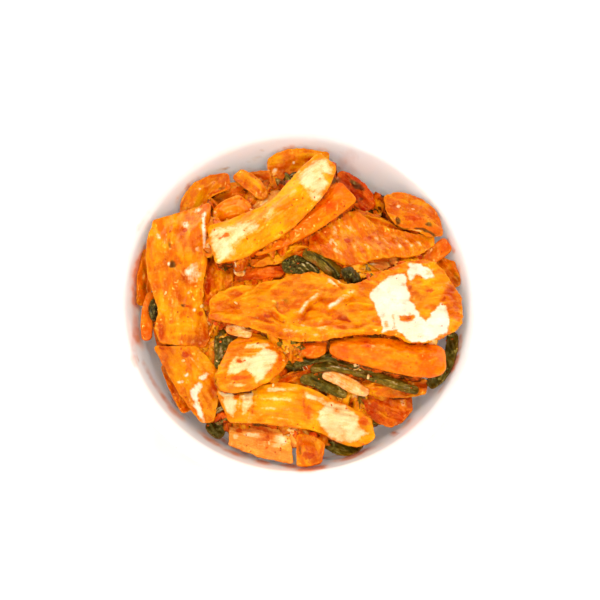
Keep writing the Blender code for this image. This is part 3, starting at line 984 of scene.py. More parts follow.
@dataclass(frozen=True)
class Cut:
    """One cut: its node, what it is, and the colours on it."""

    node: str
    kind: Kind
    finish: WetCut
    heading: float  # the grain's direction, in degrees from +X
    ground: Four  # pale, yellow, stain, dark
    seed: int
    change: tuple[tuple[str, float], ...] = ()  # what differs from its kind's flesh
    marks: tuple[Patch | Area | Vein, ...] = ()
    swell: float = 0.9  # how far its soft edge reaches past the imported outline, in mm

    def flesh(self) -> Flesh:
        """Its kind's flesh with this cut's changes."""
        return Flesh(**{**vars(self.kind.value), **dict(self.change)})

    def outline(self, solid: Slice, flesh: Flesh, step: float) -> np.ndarray:
        """The solid's outline, evenly spaced, softened and eaten into.

        Args:
            solid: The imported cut.
            flesh: How the cut is shaped.
            step: The distance between its points.

        Returns:
            The outline (n, 2).
        """
        closed = np.vstack([solid.loop, solid.loop[:1]])
        reach = np.concatenate([[0], np.cumsum(np.linalg.norm(np.diff(closed, axis=0), axis=1))])
        count = max(24, int(reach[-1] / step))
        at = np.linspace(0, reach[-1], count, endpoint=False)
        even = np.stack([np.interp(at, reach, closed[:, k]) for k in (0, 1)], axis=1)
        spread = flesh.soften / (reach[-1] / count)
        lags = np.minimum(np.arange(count), count - np.arange(count))
        bell = np.exp(-0.5 * (lags / spread) ** 2)
        blur = np.fft.rfft(bell / bell.sum())
        soft = np.stack([np.fft.irfft(np.fft.rfft(even[:, k]) * blur, count) for k in (0, 1)], axis=1)
        bite = 0.5 + 0.5 * cloud_noise(soft / 3.4, self.seed + 3, 2)
        nibble = cloud_noise(soft / 0.9, self.seed + 5, 2)
        eaten = flesh.ragged * (bite + 0.28 * nibble) - self.swell
        return soft + inward_of(soft) * eaten[:, None]

    def relief(self, flesh: Flesh, lay: np.ndarray, pale: np.ndarray) -> np.ndarray:
        """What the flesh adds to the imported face.

        Args:
            flesh: How the cut is shaped.
            lay: Places (n, 2), along and across the grain.
            pale: How pale each place is.

        Returns:
            The added height.
        """
        span = np.ptp(lay[:, 0])
        spread = 1 + flesh.flare * (lay[:, 0].max() - lay[:, 0]) / max(span, 1.0)
        across = lay[:, 1] / spread
        bent = np.stack([lay[:, 0], across], axis=1)
        warp = wave_noise(bent / (15.0, 9.0), self.seed + 11)
        height = flesh.sway * cloud_noise(bent / (13.0, 9.0), self.seed + 13, 2)
        height += flesh.crinkle * ridge_noise(bent / (3.6, 2.3) + 0.5 * warp[:, None], self.seed + 15)
        if flesh.rib:
            strength = 0.6 + 0.6 * wave_noise(bent / (9.0, 5.0), self.seed + 16)
            height += flesh.rib * strength * np.cos(math.tau * (across + 0.9 * warp) / flesh.rib_gap)
        if flesh.fold:
            folded = np.stack([lay[:, 0] / flesh.fold_length, (across + 2.2 * warp) / flesh.fold_width], 1)
            crest = ridge_noise(folded, self.seed + 17) + 0.55 * ridge_noise(folded * 2.1, self.seed + 19)
            cross = np.stack([lay[:, 0] / 4.5, across / 2.6], 1)
            crest += 0.35 * ridge_noise(cross + 0.4 * warp[:, None], self.seed + 21)
            height += flesh.fold * (crest - 0.6) * (1 - 0.9 * pale)
        small = cloud_noise(lay / flesh.blister_size, self.seed + 23, 2)
        return height + flesh.blister * small * (1 - 0.6 * pale)

    def build(self) -> bpy.types.Object:
        """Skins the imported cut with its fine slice.

        Returns:
            The piece.
        """
        flesh = self.flesh()
        solid = Slice(self.node)
        step = FINE_STEP
        rim = self.outline(solid, flesh, step)
        places, triangles, edges = fill_in(rim, self.spread(rim, step))
        passes = int((1.1 / step) ** 2 * 2)
        top = smoothed(solid.heights(solid.top, places, True), edges, passes)
        bottom = smoothed(solid.heights(solid.bottom, places, False), edges, passes)
        turn = math.radians(self.heading)
        grain = np.array([[math.cos(turn), -math.sin(turn)], [math.sin(turn), math.cos(turn)]])
        lay = places @ grain
        depth = distance_to(places, rim)
        tint = self.tints(places - solid.middle, lay)
        relief = self.relief(flesh, lay, tint[:, 0])
        for mark in self.marks:
            if isinstance(mark, Vein):
                relief = relief + mark.height * mark.cover(places - solid.middle, self.seed)
        top = top + relief - 0.25 * flesh.fold
        if flesh.skin:
            bottom = np.maximum(bottom, top - flesh.skin)
        inner = 1 - np.clip(depth / flesh.round_over, 0, 1)
        rounding = (1 - inner**flesh.crisp) ** (1 / flesh.crisp)
        middle = (top + bottom) / 2
        half = np.maximum(top - bottom, 0.3) / 2 * rounding
        scale = flesh.fold + 2.0 * flesh.rib + flesh.sway + 0.2
        layers = {
            "lay": np.column_stack([lay + (self.seed * 37.0 % 91.0), depth]),
            "tint": tint,
            "rise": np.clip(relief / scale, -1, 1),
        }
        return self.close(places, triangles, middle, half, layers)

    def spread(self, rim: np.ndarray, step: float) -> np.ndarray:
        """Spreads points over the cut.

        Args:
            rim: The outline.
            step: The distance between points.

        Returns:
            The rim's points, two rings just inside it, and an even lattice within.
        """
        inward = inward_of(rim)
        rings = [rim]
        for reach in (0.12, 0.32):
            ring = rim + inward * reach
            rings.append(ring[distance_to(ring, rim) > 0.85 * reach])
        low, high = rim.min(0), rim.max(0)
        line_x = np.arange(low[0], high[0], step)
        line_y = np.arange(low[1], high[1], step)
        x, y = np.meshgrid(line_x, line_y, indexing="ij")
        y = y + (np.arange(len(line_x)) % 2)[:, None] * step / 2
        lattice = np.stack([x.ravel(), y.ravel()], axis=1)
        lattice = lattice[inside_of(lattice, rim)]
        rings.append(lattice[distance_to(lattice, rim) > 0.32 + step * 0.6])
        return np.vstack(rings)

    def tints(self, places: np.ndarray, lay: np.ndarray) -> np.ndarray:
        """Colours the cut.

        Args:
            places: Places (n, 2), from the middle of the cut's box.
            lay: The same places, along and across the grain.

        Returns:
            The four tints at each place (n, 4).
        """
        tint = np.zeros((len(places), 4))
        tint += self.ground
        tint += 0.35 * cloud_noise(lay / (9.0, 4.0), self.seed + 29)[:, None] * (0.3, 1.0, 0.8, 0.4)
        for mark in self.marks:
            cover = mark.cover(places, self.seed) * (mark.strength if isinstance(mark, Vein) else 1)
            column = mark.tint.value
            tint[:, column] = np.maximum(tint[:, column], cover)
            for other in range(4):
                if other != column:
                    tint[:, other] *= 1 - 0.8 * cover
        return np.clip(tint, 0, 1)

    def close(self, places: np.ndarray, triangles: np.ndarray, middle: np.ndarray, half: np.ndarray,
              layers: dict[str, np.ndarray]) -> bpy.types.Object:
        """Joins the upper and the lower face along the rim.

        Args:
            places: Places (n, 2).
            triangles: The triangles that join them.
            middle: The height halfway through the flesh at each place.
            half: Half the flesh's thickness there.
            layers: What the finish reads there, by name.

        Returns:
            The piece.
        """
        on_rim, lower_index = under_side(layers["lay"][:, 2])
        upper = np.column_stack([places, middle + half])
        lower = np.column_stack([places, middle - half])[~on_rim]
        faces = triangles.tolist() + lower_index[triangles[:, ::-1]].tolist()
        both = {name: np.concatenate([values, values[~on_rim]]) for name, values in layers.items()}
        points = np.vstack([upper, lower])
        return make_mesh("cut_" + self.node, points, faces, both, self.finish, (self.node,))


def distance_to(places: np.ndarray, rim: np.ndarray) -> np.ndarray:
    """Distance to a closed outline.

    Args:
        places: Places (n, 2).
        rim: The outline (m, 2).

    Returns:
        Each place's distance.
    """
    start = rim
    run = np.roll(rim, -1, axis=0) - rim
    length = np.maximum((run**2).sum(1), 1e-12)
    nearest = np.empty(len(places))
    for first in range(0, len(places), 2000):
        block = places[first:first + 2000, None, :] - start[None]
        part = np.clip((block * run).sum(2) / length, 0, 1)
        gap = block - part[..., None] * run
        nearest[first:first + 2000] = np.sqrt((gap**2).sum(2).min(1))
    return nearest


def inside_of(places: np.ndarray, rim: np.ndarray) -> np.ndarray:
    """Tells which places a closed outline holds.

    Args:
        places: Places (n, 2).
        rim: The outline (m, 2).

    Returns:
        Whether each place lies inside.
    """
    x, y = places[:, :1], places[:, 1:]
    x0, y0 = rim[:, 0], rim[:, 1]
    x1, y1 = np.roll(x0, -1), np.roll(y0, -1)
    crossing = (y0 > y) != (y1 > y)
    with np.errstate(divide="ignore", invalid="ignore"):
        at = x0 + (y - y0) * (x1 - x0) / (y1 - y0)
    return (crossing & (x < at)).sum(1) % 2 == 1


# ---------------- the bowl


@dataclass(frozen=True)
class Smear:
    """A streak on the bowl's wall, from one point to another in millimetres: mostly sauce; the mauve and
    umber streaks are painted shadow, and the broad pink ones partly painted bounce light.
    """

    colour: Colour
    start: tuple[float, float, float]
    end: tuple[float, float, float]
    width: float
    strength: float = 1.0

    def cover(self, points: np.ndarray) -> np.ndarray:
        """How much of it lies at each point.

        Args:
            points: The bowl's points (n, 3).

        Returns:
            Its cover, from 0 to 1.
        """
        start, run = np.array(self.start), np.subtract(self.end, self.start)
        away = points - start
        part = np.clip(away @ run / max(run @ run, 1e-6), 0, 1)
        gap = np.linalg.norm(away - part[:, None] * run, axis=1)
        return (1 - smooth_step(gap, 0.3 * self.width, 1.2 * self.width)) * self.strength


OCHRE, BROWN, UMBER = srgb(214, 160, 60), srgb(120, 60, 24), srgb(58, 20, 4)
PINK, RUST, MAUVE = srgb(222, 150, 122), srgb(210, 110, 50), srgb(222, 200, 198)
SMEARS: tuple[Smear, ...] = (
    Smear(OCHRE, (-27.2, 49.5, 46.3), (-24.8, 50.3, 45.2), 0.55, 0.9),
    Smear(OCHRE, (-20.2, 52.3, 45.1), (-19.0, 52.6, 44.9), 0.4, 0.6),
    Smear(OCHRE, (-17.0, 53.3, 44.9), (-13.4, 54.4, 45.2), 0.55, 0.7),
    Smear(OCHRE, (-13.2, 55.6, 47.7), (-11.6, 56.2, 48.4), 0.4, 0.5),
    Smear(BROWN, (14.3, 52.2, 40.4), (14.9, 52.4, 41.2), 0.55, 0.95),
    Smear(BROWN, (11.6, 53.9, 42.8), (12.3, 54.2, 43.9), 0.35, 0.8),
    Smear(BROWN, (12.4, 52.8, 40.7), (12.8, 52.9, 41.1), 0.4, 0.7),
    Smear(OCHRE, (15.6, 55.0, 48.1), (16.6, 55.1, 48.8), 0.4, 0.5),
    # painted shadow: grey-lilac shade on the back wall
    Smear(MAUVE, (15.0, 52.0, 40.2), (19.0, 54.5, 49.3), 2.6, 0.7),
    Smear(MAUVE, (17.5, 52.9, 44.3), (20.0, 50.7, 41.2), 2.2, 0.5),
    Smear(BROWN, (48.6, 32.2, 50.7), (49.6, 30.9, 51.0), 0.45, 0.9),
    Smear(RUST, (39.5, 40.1, 45.7), (42.0, 37.9, 46.4), 0.7, 0.7),
    Smear(RUST, (36.4, 41.7, 43.4), (38.0, 40.8, 44.4), 0.5, 0.5),
    Smear(PINK, (32.6, -43.3, 40.6), (33.6, -45.5, 46.4), 1.1, 0.9),
    Smear(RUST, (-44.4, -29.5, 38.3), (-39.0, -35.5, 36.9), 0.7, 0.8),
    Smear(RUST, (-43.0, -32.5, 39.8), (-37.0, -37.5, 36.7), 0.6, 0.7),
    Smear(RUST, (-41.6, -29.6, 32.7), (-38.6, -32.0, 30.3), 0.45, 0.6),
    Smear(RUST, (-54.6, -18.9, 49.5), (-53.8, -20.3, 48.8), 0.4, 0.8),
    # broad pink bands on the left wall: faint sauce with painted warm bounce light from the food
    Smear(PINK, (-55.6, -6.3, 44.9), (-55.0, -21.3, 52.5), 2.4, 0.45),
    Smear(PINK, (-52.0, -21.5, 45.7), (-44.0, -34.1, 44.2), 2.6, 0.5),
    Smear(PINK, (-54.6, 25.1, 54.5), (-51.0, 31.2, 54.4), 1.6, 0.35),
    # painted contact shadow: dark brown along the wall's foot under the front of the heap
    Smear(UMBER, (-27.0, -40.9, 30.0), (-22.6, -43.3, 30.0), 1.3, 0.95),
    Smear(UMBER, (-22.6, -43.7, 30.0), (-14.0, -47.9, 30.0), 1.5, 0.95),
    Smear(UMBER, (-14.0, -48.8, 32.0), (-5.0, -52.0, 35.6), 1.3, 0.9),
    Smear(RUST, (-28.0, -42.5, 32.2), (-16.0, -51.6, 40.0), 2.6, 0.6),
    Smear(RUST, (9.0, -51.3, 35.2), (16.0, -49.9, 36.1), 1.6, 0.6),
    Smear(PINK, (16.0, -49.9, 36.1), (27.0, -44.0, 34.0), 1.8, 0.4),
)


@dataclass
class Bowl:
    """The bowl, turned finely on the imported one's own outline."""

    turns: int = 320
    step: float = 1.0  # distance between rings where the outline is straight
    fine: float = 0.25  # distance between the points that it is smoothed at
    saucy: float = 238.0  # heading of the side where the film, sauce with painted shade, is strongest, in degrees from +X

    def profile(self) -> np.ndarray:
        """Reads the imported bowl's outline in the plane where its turning starts.

        Returns:
            Its corners (n, 2), as radius and height.
        """
        points, triangles = node_mesh("bowl")
        radius = np.hypot(points[:, 0], points[:, 1])
        flat = (np.abs(points[:, 1]) < 0.01) & (points[:, 0] > -0.01)
        chosen = {i: (radius[i], points[i, 2]) for i in np.nonzero(flat)[0]}
        onward = {}
        for a, b in edges_of(triangles).tolist():
            if a in chosen and b in chosen:
                onward.setdefault(a, []).append(b)
                onward.setdefault(b, []).append(a)
        start = max((i for i in chosen if len(onward[i]) == 1), key=lambda i: chosen[i][1])
        chain = [start]
        while True:
            following = [i for i in onward[chain[-1]] if i not in chain]
            if not following:
                break
            chain.append(following[0])
        return np.array([chosen[i] for i in chain])

    def rounded(self, outline: np.ndarray) -> np.ndarray:
        """Smooths the facets and rounds the corners a little.

        Args:
            outline: The outline (n, 2).

        Returns:
            The new outline, with more points where it bends.
        """
        reach = np.concatenate([[0], np.cumsum(np.linalg.norm(np.diff(outline, axis=0), axis=1))])
        count = int(reach[-1] / self.fine)
        at = np.linspace(0, reach[-1], count)
        fine = np.stack([np.interp(at, reach, outline[:, k]) for k in (0, 1)], axis=1)
        for _ in range(10):
            fine[1:-1] = 0.5 * fine[1:-1] + 0.25 * (fine[2:] + fine[:-2])
        bend = np.linalg.norm(np.diff(fine, 2, axis=0), axis=1)
        keep = [0]
        travelled = 0.0
        for i in range(1, count - 1):
            travelled += self.fine * (1 + 60 * bend[i - 1])
            if travelled > self.step:
                keep.append(i)
                travelled = 0.0
        return fine[keep + [count - 1]]

    def build(self, food: np.ndarray) -> bpy.types.Object:
        """Turns the outline, with a film where food lies close: sauce, with painted warm bounce light and
        contact shade.

        Args:
            food: Points of the food (n, 3).

        Returns:
            The piece.
        """
        outline = self.rounded(self.profile())
        outline[0, 0] = outline[-1, 0] = 0.0
        turns = np.arange(self.turns) * math.tau / self.turns
        inner = outline[1:-1]
        points = [np.array([[0, 0, outline[0, 1]]])]
        for r, z in inner:
            points.append(np.column_stack([r * np.cos(turns), r * np.sin(turns), np.full(self.turns, z)]))
        points.append(np.array([[0, 0, outline[-1, 1]]]))
        points = np.vstack(points)
        faces = []
        last = 1 + (len(inner) - 1) * self.turns
        for k in range(self.turns):
            after = (k + 1) % self.turns
            faces.append((0, 1 + k, 1 + after))
            faces.append((len(points) - 1, last + after, last + k))
            for ring in range(len(inner) - 1):
                base = 1 + ring * self.turns
                faces.append((base + k, base + self.turns + k, base + self.turns + after, base + after))
        layers = {"film": self.film(points, food), "smear": self.smears(points)}
        return make_mesh("bowl_glazed", points, faces, layers, GLAZE, ("bowl",))

    @staticmethod
    def smears(points: np.ndarray) -> np.ndarray:
        """Lays the smears.

        Args:
            points: The bowl's points (n, 3).

        Returns:
            The smears' colour and cover at each point (n, 4).
        """
        layer = np.zeros((len(points), 4))
        ragged = 0.7 + 0.6 * cloud_noise(points[:, :2] / 1.7, 73)
        for smear in SMEARS:
            cover = np.clip(smear.cover(points) * ragged, 0, 1)
            share = cover / np.maximum(cover + layer[:, 3], 1e-6)
            layer[:, :3] += (np.array(smear.colour) - layer[:, :3]) * share[:, None]
            layer[:, 3] = np.maximum(layer[:, 3], cover)
        return layer

    def film(self, points: np.ndarray, food: np.ndarray) -> np.ndarray:
        """Lays the film from how close the food lies: sauce, with painted warm bounce light and contact
        shade.

        Args:
            points: The bowl's points (n, 3).
            food: Points of the food (m, 3).

        Returns:
            How much of the film, sauce with painted bounce light and shade, lies at each point.
        """
        film = np.zeros(len(points))
        # Wide band near the food: sauce with painted warm bounce light; narrow band where food touches:
        # painted contact shade.
        touch = np.zeros(len(points))
        for first in range(0, len(points), 1000):
            block = points[first:first + 1000, None, :] - food[None]
            near = np.sqrt((block**2).sum(2).min(1))
            film[first:first + 1000] = 1 - smooth_step(near, 1.0, 5.5)
            touch[first:first + 1000] = 1 - smooth_step(near, 0.6, 2.4)
        heading = np.arctan2(points[:, 1], points[:, 0])
        runs = cloud_noise(np.column_stack([heading * 14, points[:, 2] / 9.0]), 71)
        # The film is strongest on one side, as sauce and as painted shade.
        side = np.clip(0.3 + 0.7 * np.cos(heading - math.radians(self.saucy)), 0, 1)
        return np.clip(film * (0.85 + 0.3 * runs) * side + touch * (0.5 + 0.5 * runs), 0, 1)


# ---------------- the heap's small things


@dataclass
class Core:
    """The pulp that fills the heap under its cuts."""

    sink: float = 1.4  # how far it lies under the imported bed's top
    step: float = 0.8  # distance between its points
    lowest: float = 39.0  # height of its lowest edge
    gap: float = 1.9  # the least distance under a cut's top
    looks: int = 8  # how many ways it looks for cuts
    rings: tuple[tuple[float, float], ...] = (  # how far off a cut is, how far under it the pulp stays
        (0.0, 2.6), (1.3, 2.7), (2.6, 3.6), (3.8, 6.0),
    )

    def blanket(self, places: np.ndarray, cuts: list[bpy.types.Object]) -> np.ndarray:
        """How high the pulp reaches between the cuts: a little under the nearest one's top.

        Args:
            places: Places (n, 2), in mm.
            cuts: The cuts.

        Returns:
            The height at each place, in mm.
        """
        tree = tree_of(cuts)
        height = np.zeros(len(places))
        roof = np.full(len(places), SKY)
        for reach, drop in self.rings:
            for turn in np.arange(self.looks if reach else 1) * math.tau / self.looks:
                moved = places + reach * np.array([math.cos(turn), math.sin(turn)])
                for i, (x, y) in enumerate(moved.tolist()):
                    hit = tree.ray_cast(Vector((x, y, SKY)), DOWN)[0]
                    if hit is not None:
                        height[i] = max(height[i], hit.z - drop)
                        if not reach:
                            roof[i] = hit.z - self.gap
        return np.minimum(height, roof)

    def build(self, cuts: list[bpy.types.Object]) -> bpy.types.Object:
        """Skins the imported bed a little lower, with a lumpy top that follows the cuts over it.

        Args:
            cuts: The cuts.

        Returns:
            The piece.
        """
        solid = Slice("kimchi_bed")
        whole = Cut("kimchi_bed", Kind.STEM, STEM, 0.0, (0.0, 0.0, 0.0, 0.0), 1, swell=0.0)
        rim = whole.outline(solid, Flesh(soften=1.0, ragged=0.1), self.step)
        low, high = rim.min(0), rim.max(0)
        x, y = np.meshgrid(*(np.arange(low[k], high[k], self.step) for k in (0, 1)), indexing="ij")
        lattice = np.stack([x.ravel(), y.ravel()], axis=1)
        lattice = lattice[inside_of(lattice, rim)]
        lattice = lattice[distance_to(lattice, rim) > self.step * 0.6]
        places, triangles, edges = fill_in(rim, np.vstack([rim, lattice]))
        top = smoothed(solid.heights(solid.top, places, True), edges, 6)
        lumps = 0.9 * cloud_noise(places / 3.2, 5) + 0.5 * ridge_noise(places / 2.1, 9)
        depth = distance_to(places, rim)
        inward = smooth_step(depth, 0.0, 3.0)
        top = top - self.sink * inward
        wall = RIM_TOP - (WALL_REACH - np.hypot(places[:, 0], places[:, 1])) / WALL_LEAN
        top = np.maximum(top, np.maximum(self.blanket(places, cuts), 0)) + lumps * inward * 0.6
        top = np.where(wall > top, np.maximum(top - 2.0, self.lowest), top)
        points = np.column_stack([places, top])
        under = np.column_stack([places * 0.96, top - 3.0 - 14.0 * smooth_step(depth, 0.0, 12.0)])
        on_rim, lower = under_side(depth)
        faces = triangles.tolist() + lower[triangles[:, ::-1]].tolist()
        points = np.vstack([points, under[~on_rim]])
        return make_mesh("pulp_core", points, faces, {}, PULP, ("kimchi_bed",))


class Scatter:
    """Places small things on whatever is already built."""

    def __init__(self, seed: int) -> None:
        """Joins the built pieces into one tree to drop things on.

        Args:
            seed: What the random draws start from.
        """
        self.random = np.random.default_rng(seed)
        pieces = [
            piece for piece in bpy.context.scene.collection.objects
            if piece.type == "MESH" and not piece.name.startswith("bowl") and "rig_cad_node" not in piece
        ]
        self.tree = tree_of(pieces)
        self.core = tree_of([piece for piece in pieces if piece.name == "pulp_core"])

    def under(self, x: float, y: float) -> float:
        """Height of the pulp.

        Args:
            x: Where, in mm.
            y: Where, in mm.

        Returns:
            The height there, or at the pulp's nearest point.
        """
        hit = self.core.ray_cast(Vector((x, y, SKY)), DOWN)[0]
        if hit is None:
            hit = self.core.find_nearest(Vector((x, y, 45.0)))[0]
        return hit.z

    def drop(self, x: float, y: float) -> tuple[Vector, Vector] | None:
        """Where something dropped at a place comes to rest, and which way is up there."""
        place, normal, _, _ = self.tree.ray_cast(Vector((x, y, SKY)), DOWN)
        return None if place is None else (place, normal)

    def in_gap(self, x: float, y: float) -> bool:
        """Whether nothing much higher than the pulp covers a place."""
        rest = self.drop(x, y)
        return rest is not None and rest[0].z < self.under(x, y) + 0.4

    def hold(self, x: float, y: float) -> float:
        """How readily flakes lie at a place: more in the gaps than on the cuts.

        Args:
            x: Where, in mm.
            y: Where, in mm.

        Returns:
            The chance that one stays, from 0 to 1.
        """
        rest = self.drop(x, y)
        gap = rest is not None and rest[0].z < self.under(x, y) + 3.0
        cluster = smooth_step(cloud_noise(np.array([[x, y]]) / 7.0, 77), 0.1, 0.9)[0]
        return 0.55 + 0.45 * cluster if gap else 0.02 + 0.5 * cluster

    def spots(self, count: int, radius: float) -> np.ndarray:
        """Random places in a disc.

        Args:
            count: How many.
            radius: The disc's radius, in mm.

        Returns:
            The places (n, 2).
        """
        turn = self.random.uniform(0, math.tau, count)
        reach = radius * np.sqrt(self.random.uniform(0, 1, count))
        return np.column_stack([reach * np.cos(turn), reach * np.sin(turn)])


@dataclass
class Rags:
    """Torn scraps of leaf that fill the heap between its cuts, each folded over what is under it."""

    name: str
    finish: WetCut
    count: int
    length: tuple[float, float]  # the shortest and the longest, in mm
    width: tuple[float, float]
    fold: float  # height of the folds
    lift: float  # how far it lies over the pulp
    ground: Four  # pale, yellow, stain, dark
    cell: float = 0.65  # distance between its points
    spread: float = 0.25  # how much the scraps' tints differ

    @staticmethod
    def torn(random: np.random.Generator, along: np.ndarray, across: np.ndarray, s: np.ndarray,
             t: np.ndarray, seed: int) -> tuple[np.ndarray, np.ndarray]:
        """Tears a rectangle into a scrap's outline.

        Args:
            random: The random draws.
            along: How far each point is along the rectangle, from its middle.
            across: How far it is across it.
            s: The first again, from -1 to 1.
            t: The second again, from -1 to 1.
            seed: Which noise shapes it.

        Returns:
            How far each point then is along and across.
        """
        along = along * (1 - 0.2 * t**2)
        waist = wave_noise(np.column_stack([s * 1.4, np.full(len(s), 0.5)]), seed)
        across = across * (1 - 0.55 * np.abs(s) ** 3) * (1 + 0.3 * waist)
        drift = np.column_stack([along, across]) / 2.6
        along = along + 0.5 * wave_noise(drift, seed + 1)
        bend = random.normal(0, 0.02) * along**2
        return along, across + 0.5 * wave_noise(drift, seed + 2) + bend

    def scrap(self, scatter: Scatter, x: float, y: float, seed: int) -> dict:
        """Folds one scrap over the pulp.

        Args:
            scatter: What it falls on, and the random draws.
            x: Its middle, in mm.
            y: Its middle, in mm.
            seed: Which noise shapes it.

        Returns:
            Its points, faces and layers, by name.
        """
        random = scatter.random
        length, width = random.uniform(*self.length), random.uniform(*self.width)
        rows, columns = max(6, int(length / self.cell)), max(5, int(width / self.cell))
        s, t = np.meshgrid(np.linspace(-1, 1, rows), np.linspace(-1, 1, columns), indexing="ij")
        s, t = s.ravel(), t.ravel()
        rim = (np.abs(s) > 0.999) | (np.abs(t) > 0.999)
        along, across = self.torn(random, s * length / 2, t * width / 2, s, t, seed)
        turn = random.uniform(0, math.tau)
        px = x + along * math.cos(turn) - across * math.sin(turn)
        py = y + along * math.sin(turn) + across * math.cos(turn)
        pull = np.minimum(1, 50.0 / np.maximum(np.hypot(px, py), 1e-6))
        px, py = px * pull, py * pull
        ground = np.array([scatter.under(a, b) for a, b in zip(px, py)])
        base = np.median(ground)
        ground = base + np.clip(ground - base, -2.2, 2.2)
        folds = np.column_stack([along / 9.0, across / 2.6])
        crest = 1.6 * ridge_noise(folds, seed + 3) + 0.4 * wave_noise(folds * 2.0, seed + 4) - 0.4
        arch = random.uniform(-0.4, 1.0) * (1 - t**2) - random.uniform(0, 0.8) * s**2
        tilt = random.normal(0, 0.16) * across + random.normal(0, 0.07) * along
        top = ground + self.lift + self.fold * (crest + arch) + tilt
        lower = np.where(rim, np.arange(len(s)), len(s) + np.cumsum(~rim) - 1)
        grid = np.arange(len(s)).reshape(rows, columns)
        quads = np.stack([grid[:-1, :-1], grid[1:, :-1], grid[1:, 1:], grid[:-1, 1:]], -1).reshape(-1, 4)
        points = np.column_stack([px, py, top])
        below = points[~rim] - (0, 0, 0.45)
        shade = np.clip(np.array(self.ground) + random.uniform(-self.spread, self.spread, 4), 0, 1)
        depth = np.minimum((1 - np.abs(s)) * length / 2, (1 - np.abs(t)) * width / 2)
        spot = np.column_stack([along + seed * 3.7, across + seed * 1.3, depth])
        return {
            "points": np.vstack([points, below]),
            "faces": quads.tolist() + lower[quads[:, ::-1]].tolist(),
            "lay": np.vstack([spot, spot[~rim]]),
            "tint": np.tile(shade, (len(s) + int((~rim).sum()), 1)),
            "rise": np.clip(np.concatenate([crest, crest[~rim]]), -1, 1),
        }

    def build(self, scatter: Scatter) -> bpy.types.Object:
        """Lays the scraps in the gaps and joins them.

        Args:
            scatter: What they fall on, and the random draws.

        Returns:
            The piece.
        """
        scraps = []
        for x, y in scatter.spots(self.count * 30, 50.0):
            if len(scraps) >= self.count:
                break
            if scatter.in_gap(x, y):
                scraps.append(self.scrap(scatter, x, y, 1000 + 17 * len(scraps)))
        faces, total = [], 0
        for scrap in scraps:
            faces.extend([corner + total for corner in face] for face in scrap["faces"])
            total += len(scrap["points"])
        points = np.concatenate([scrap["points"] for scrap in scraps])
        layers = {key: np.concatenate([scrap[key] for scrap in scraps]) for key in ("lay", "tint", "rise")}
        return make_mesh(self.name, points, faces, layers, self.finish)


SCRAPS: tuple[Rags, ...] = (
    Rags("scraps_leaf", BLADE, 60, (6.0, 13.0), (3.0, 6.0), 0.7, 0.5, (0.0, 0.3, 0.4, 0.1)),
    # Dark brown scraps in the gaps: partly brown leaf, partly painted shade of the gaps.
    Rags("scraps_brown", BLADE, 30, (6.0, 12.0), (3.0, 5.0), 0.7, 0.4, (0.0, 0.0, 0.5, 0.45)),
    Rags("scraps_pale", ONION, 12, (4.0, 7.0), (2.0, 4.0), 0.6, 0.6, (0.35, 0.2, 0.3, 0.0)),
    Rags("scraps_chili", CHILI, 26, (3.0, 7.0), (2.0, 3.5), 0.7, 0.7, (0.0, 0.3, 0.4, 0.0)),
    Rags("scraps_green", GREEN, 16, (5.0, 10.0), (2.0, 3.4), 0.6, 0.7, (0.05, 0.3, 0.2, 0.3)),
)


@dataclass
class Bits:
    """Many small flat bits, such as flakes or seeds, that stick to the surface."""

    name: str
    finish: Finish
    count: int
    size: tuple[float, float]  # the smallest and the largest half width, in mm
    stretch: float  # how much longer than wide
    thickness: float
    corners: int = 6
    rings: tuple[tuple[float, float], ...] = ((-0.2, 0.8), (0.55, 1.0), (1.0, 0.6))  # height, width
    steepest: float = 0.3  # the least upward lean of a surface that holds them

    def bit(self, random: np.random.Generator, place: Vector, normal: Vector, number: int) -> list:
        """Shapes one bit.

        Args:
            random: The random draws.
            place: Where it lies.
            normal: Which way is up there.
            number: Its number, which shapes its outline.

        Returns:
            Its points, ring by ring from the lowest.
        """
        first = normal.orthogonal().normalized()
        second = normal.cross(first)
        turn = random.uniform(0, math.tau)
        size = random.uniform(*self.size) * random.uniform(0.6, 1.0)
        points = []
        for level, shrink in self.rings:
            for k in range(self.corners):
                angle = math.tau * k / self.corners
                uneven = 1 + 0.28 * math.sin(angle * 2 + number) + random.uniform(-0.12, 0.12)
                reach = size * shrink * uneven
                u = math.cos(angle) * reach * self.stretch
                v = math.sin(angle) * reach
                u, v = u * math.cos(turn) - v * math.sin(turn), u * math.sin(turn) + v * math.cos(turn)
                spot = place + first * u + second * v + normal * (level * self.thickness)
                points.append(tuple(spot))
        return points

    def skin(self, base: int) -> list[tuple[int, ...]]:
        """The faces of one bit.

        Args:
            base: The number of its first point.

        Returns:
            The corners of each face.
        """
        faces = []
        for ring in range(len(self.rings) - 1):
            for k in range(self.corners):
                after = (k + 1) % self.corners
                a = base + ring * self.corners
                faces.append((a + k, a + after, a + self.corners + after, a + self.corners + k))
        faces.append(tuple(base + k for k in reversed(range(self.corners))))
        faces.append(tuple(base + 2 * self.corners + k for k in range(self.corners)))
        return faces

    def build(self, scatter: Scatter) -> bpy.types.Object:
        """Sticks the bits to what is built, and joins them.

        Args:
            scatter: What they stick to, and the random draws.

        Returns:
            The piece.
        """
        points, faces, shades = [], [], []
        made = 0
        for x, y in scatter.spots(self.count * 14, 56.0):
            if made >= self.count:
                break
            if scatter.random.uniform() > scatter.hold(x, y):
                continue
            rest = scatter.drop(x, y)
            if rest is None or rest[1].z < self.steepest:
                continue
            made += 1
            faces.extend(self.skin(len(points)))
            points.extend(self.bit(scatter.random, *rest, made))
            shades.extend([scatter.random.uniform(0, 1)] * (len(self.rings) * self.corners))
        return make_mesh(self.name, np.array(points), faces, {"rise": np.array(shades)}, self.finish)


BITS: tuple[Bits, ...] = (
    Bits("chili_flakes", FLAKE, 280, (0.16, 0.45), 1.25, 0.12),
    Bits("chili_seeds", SEED, 16, (0.4, 0.65), 1.35, 0.28, corners=8),
)


# ---------------- the cuts

P, Y, S, D = Tint.PALE, Tint.YELLOW, Tint.STAIN, Tint.DARK

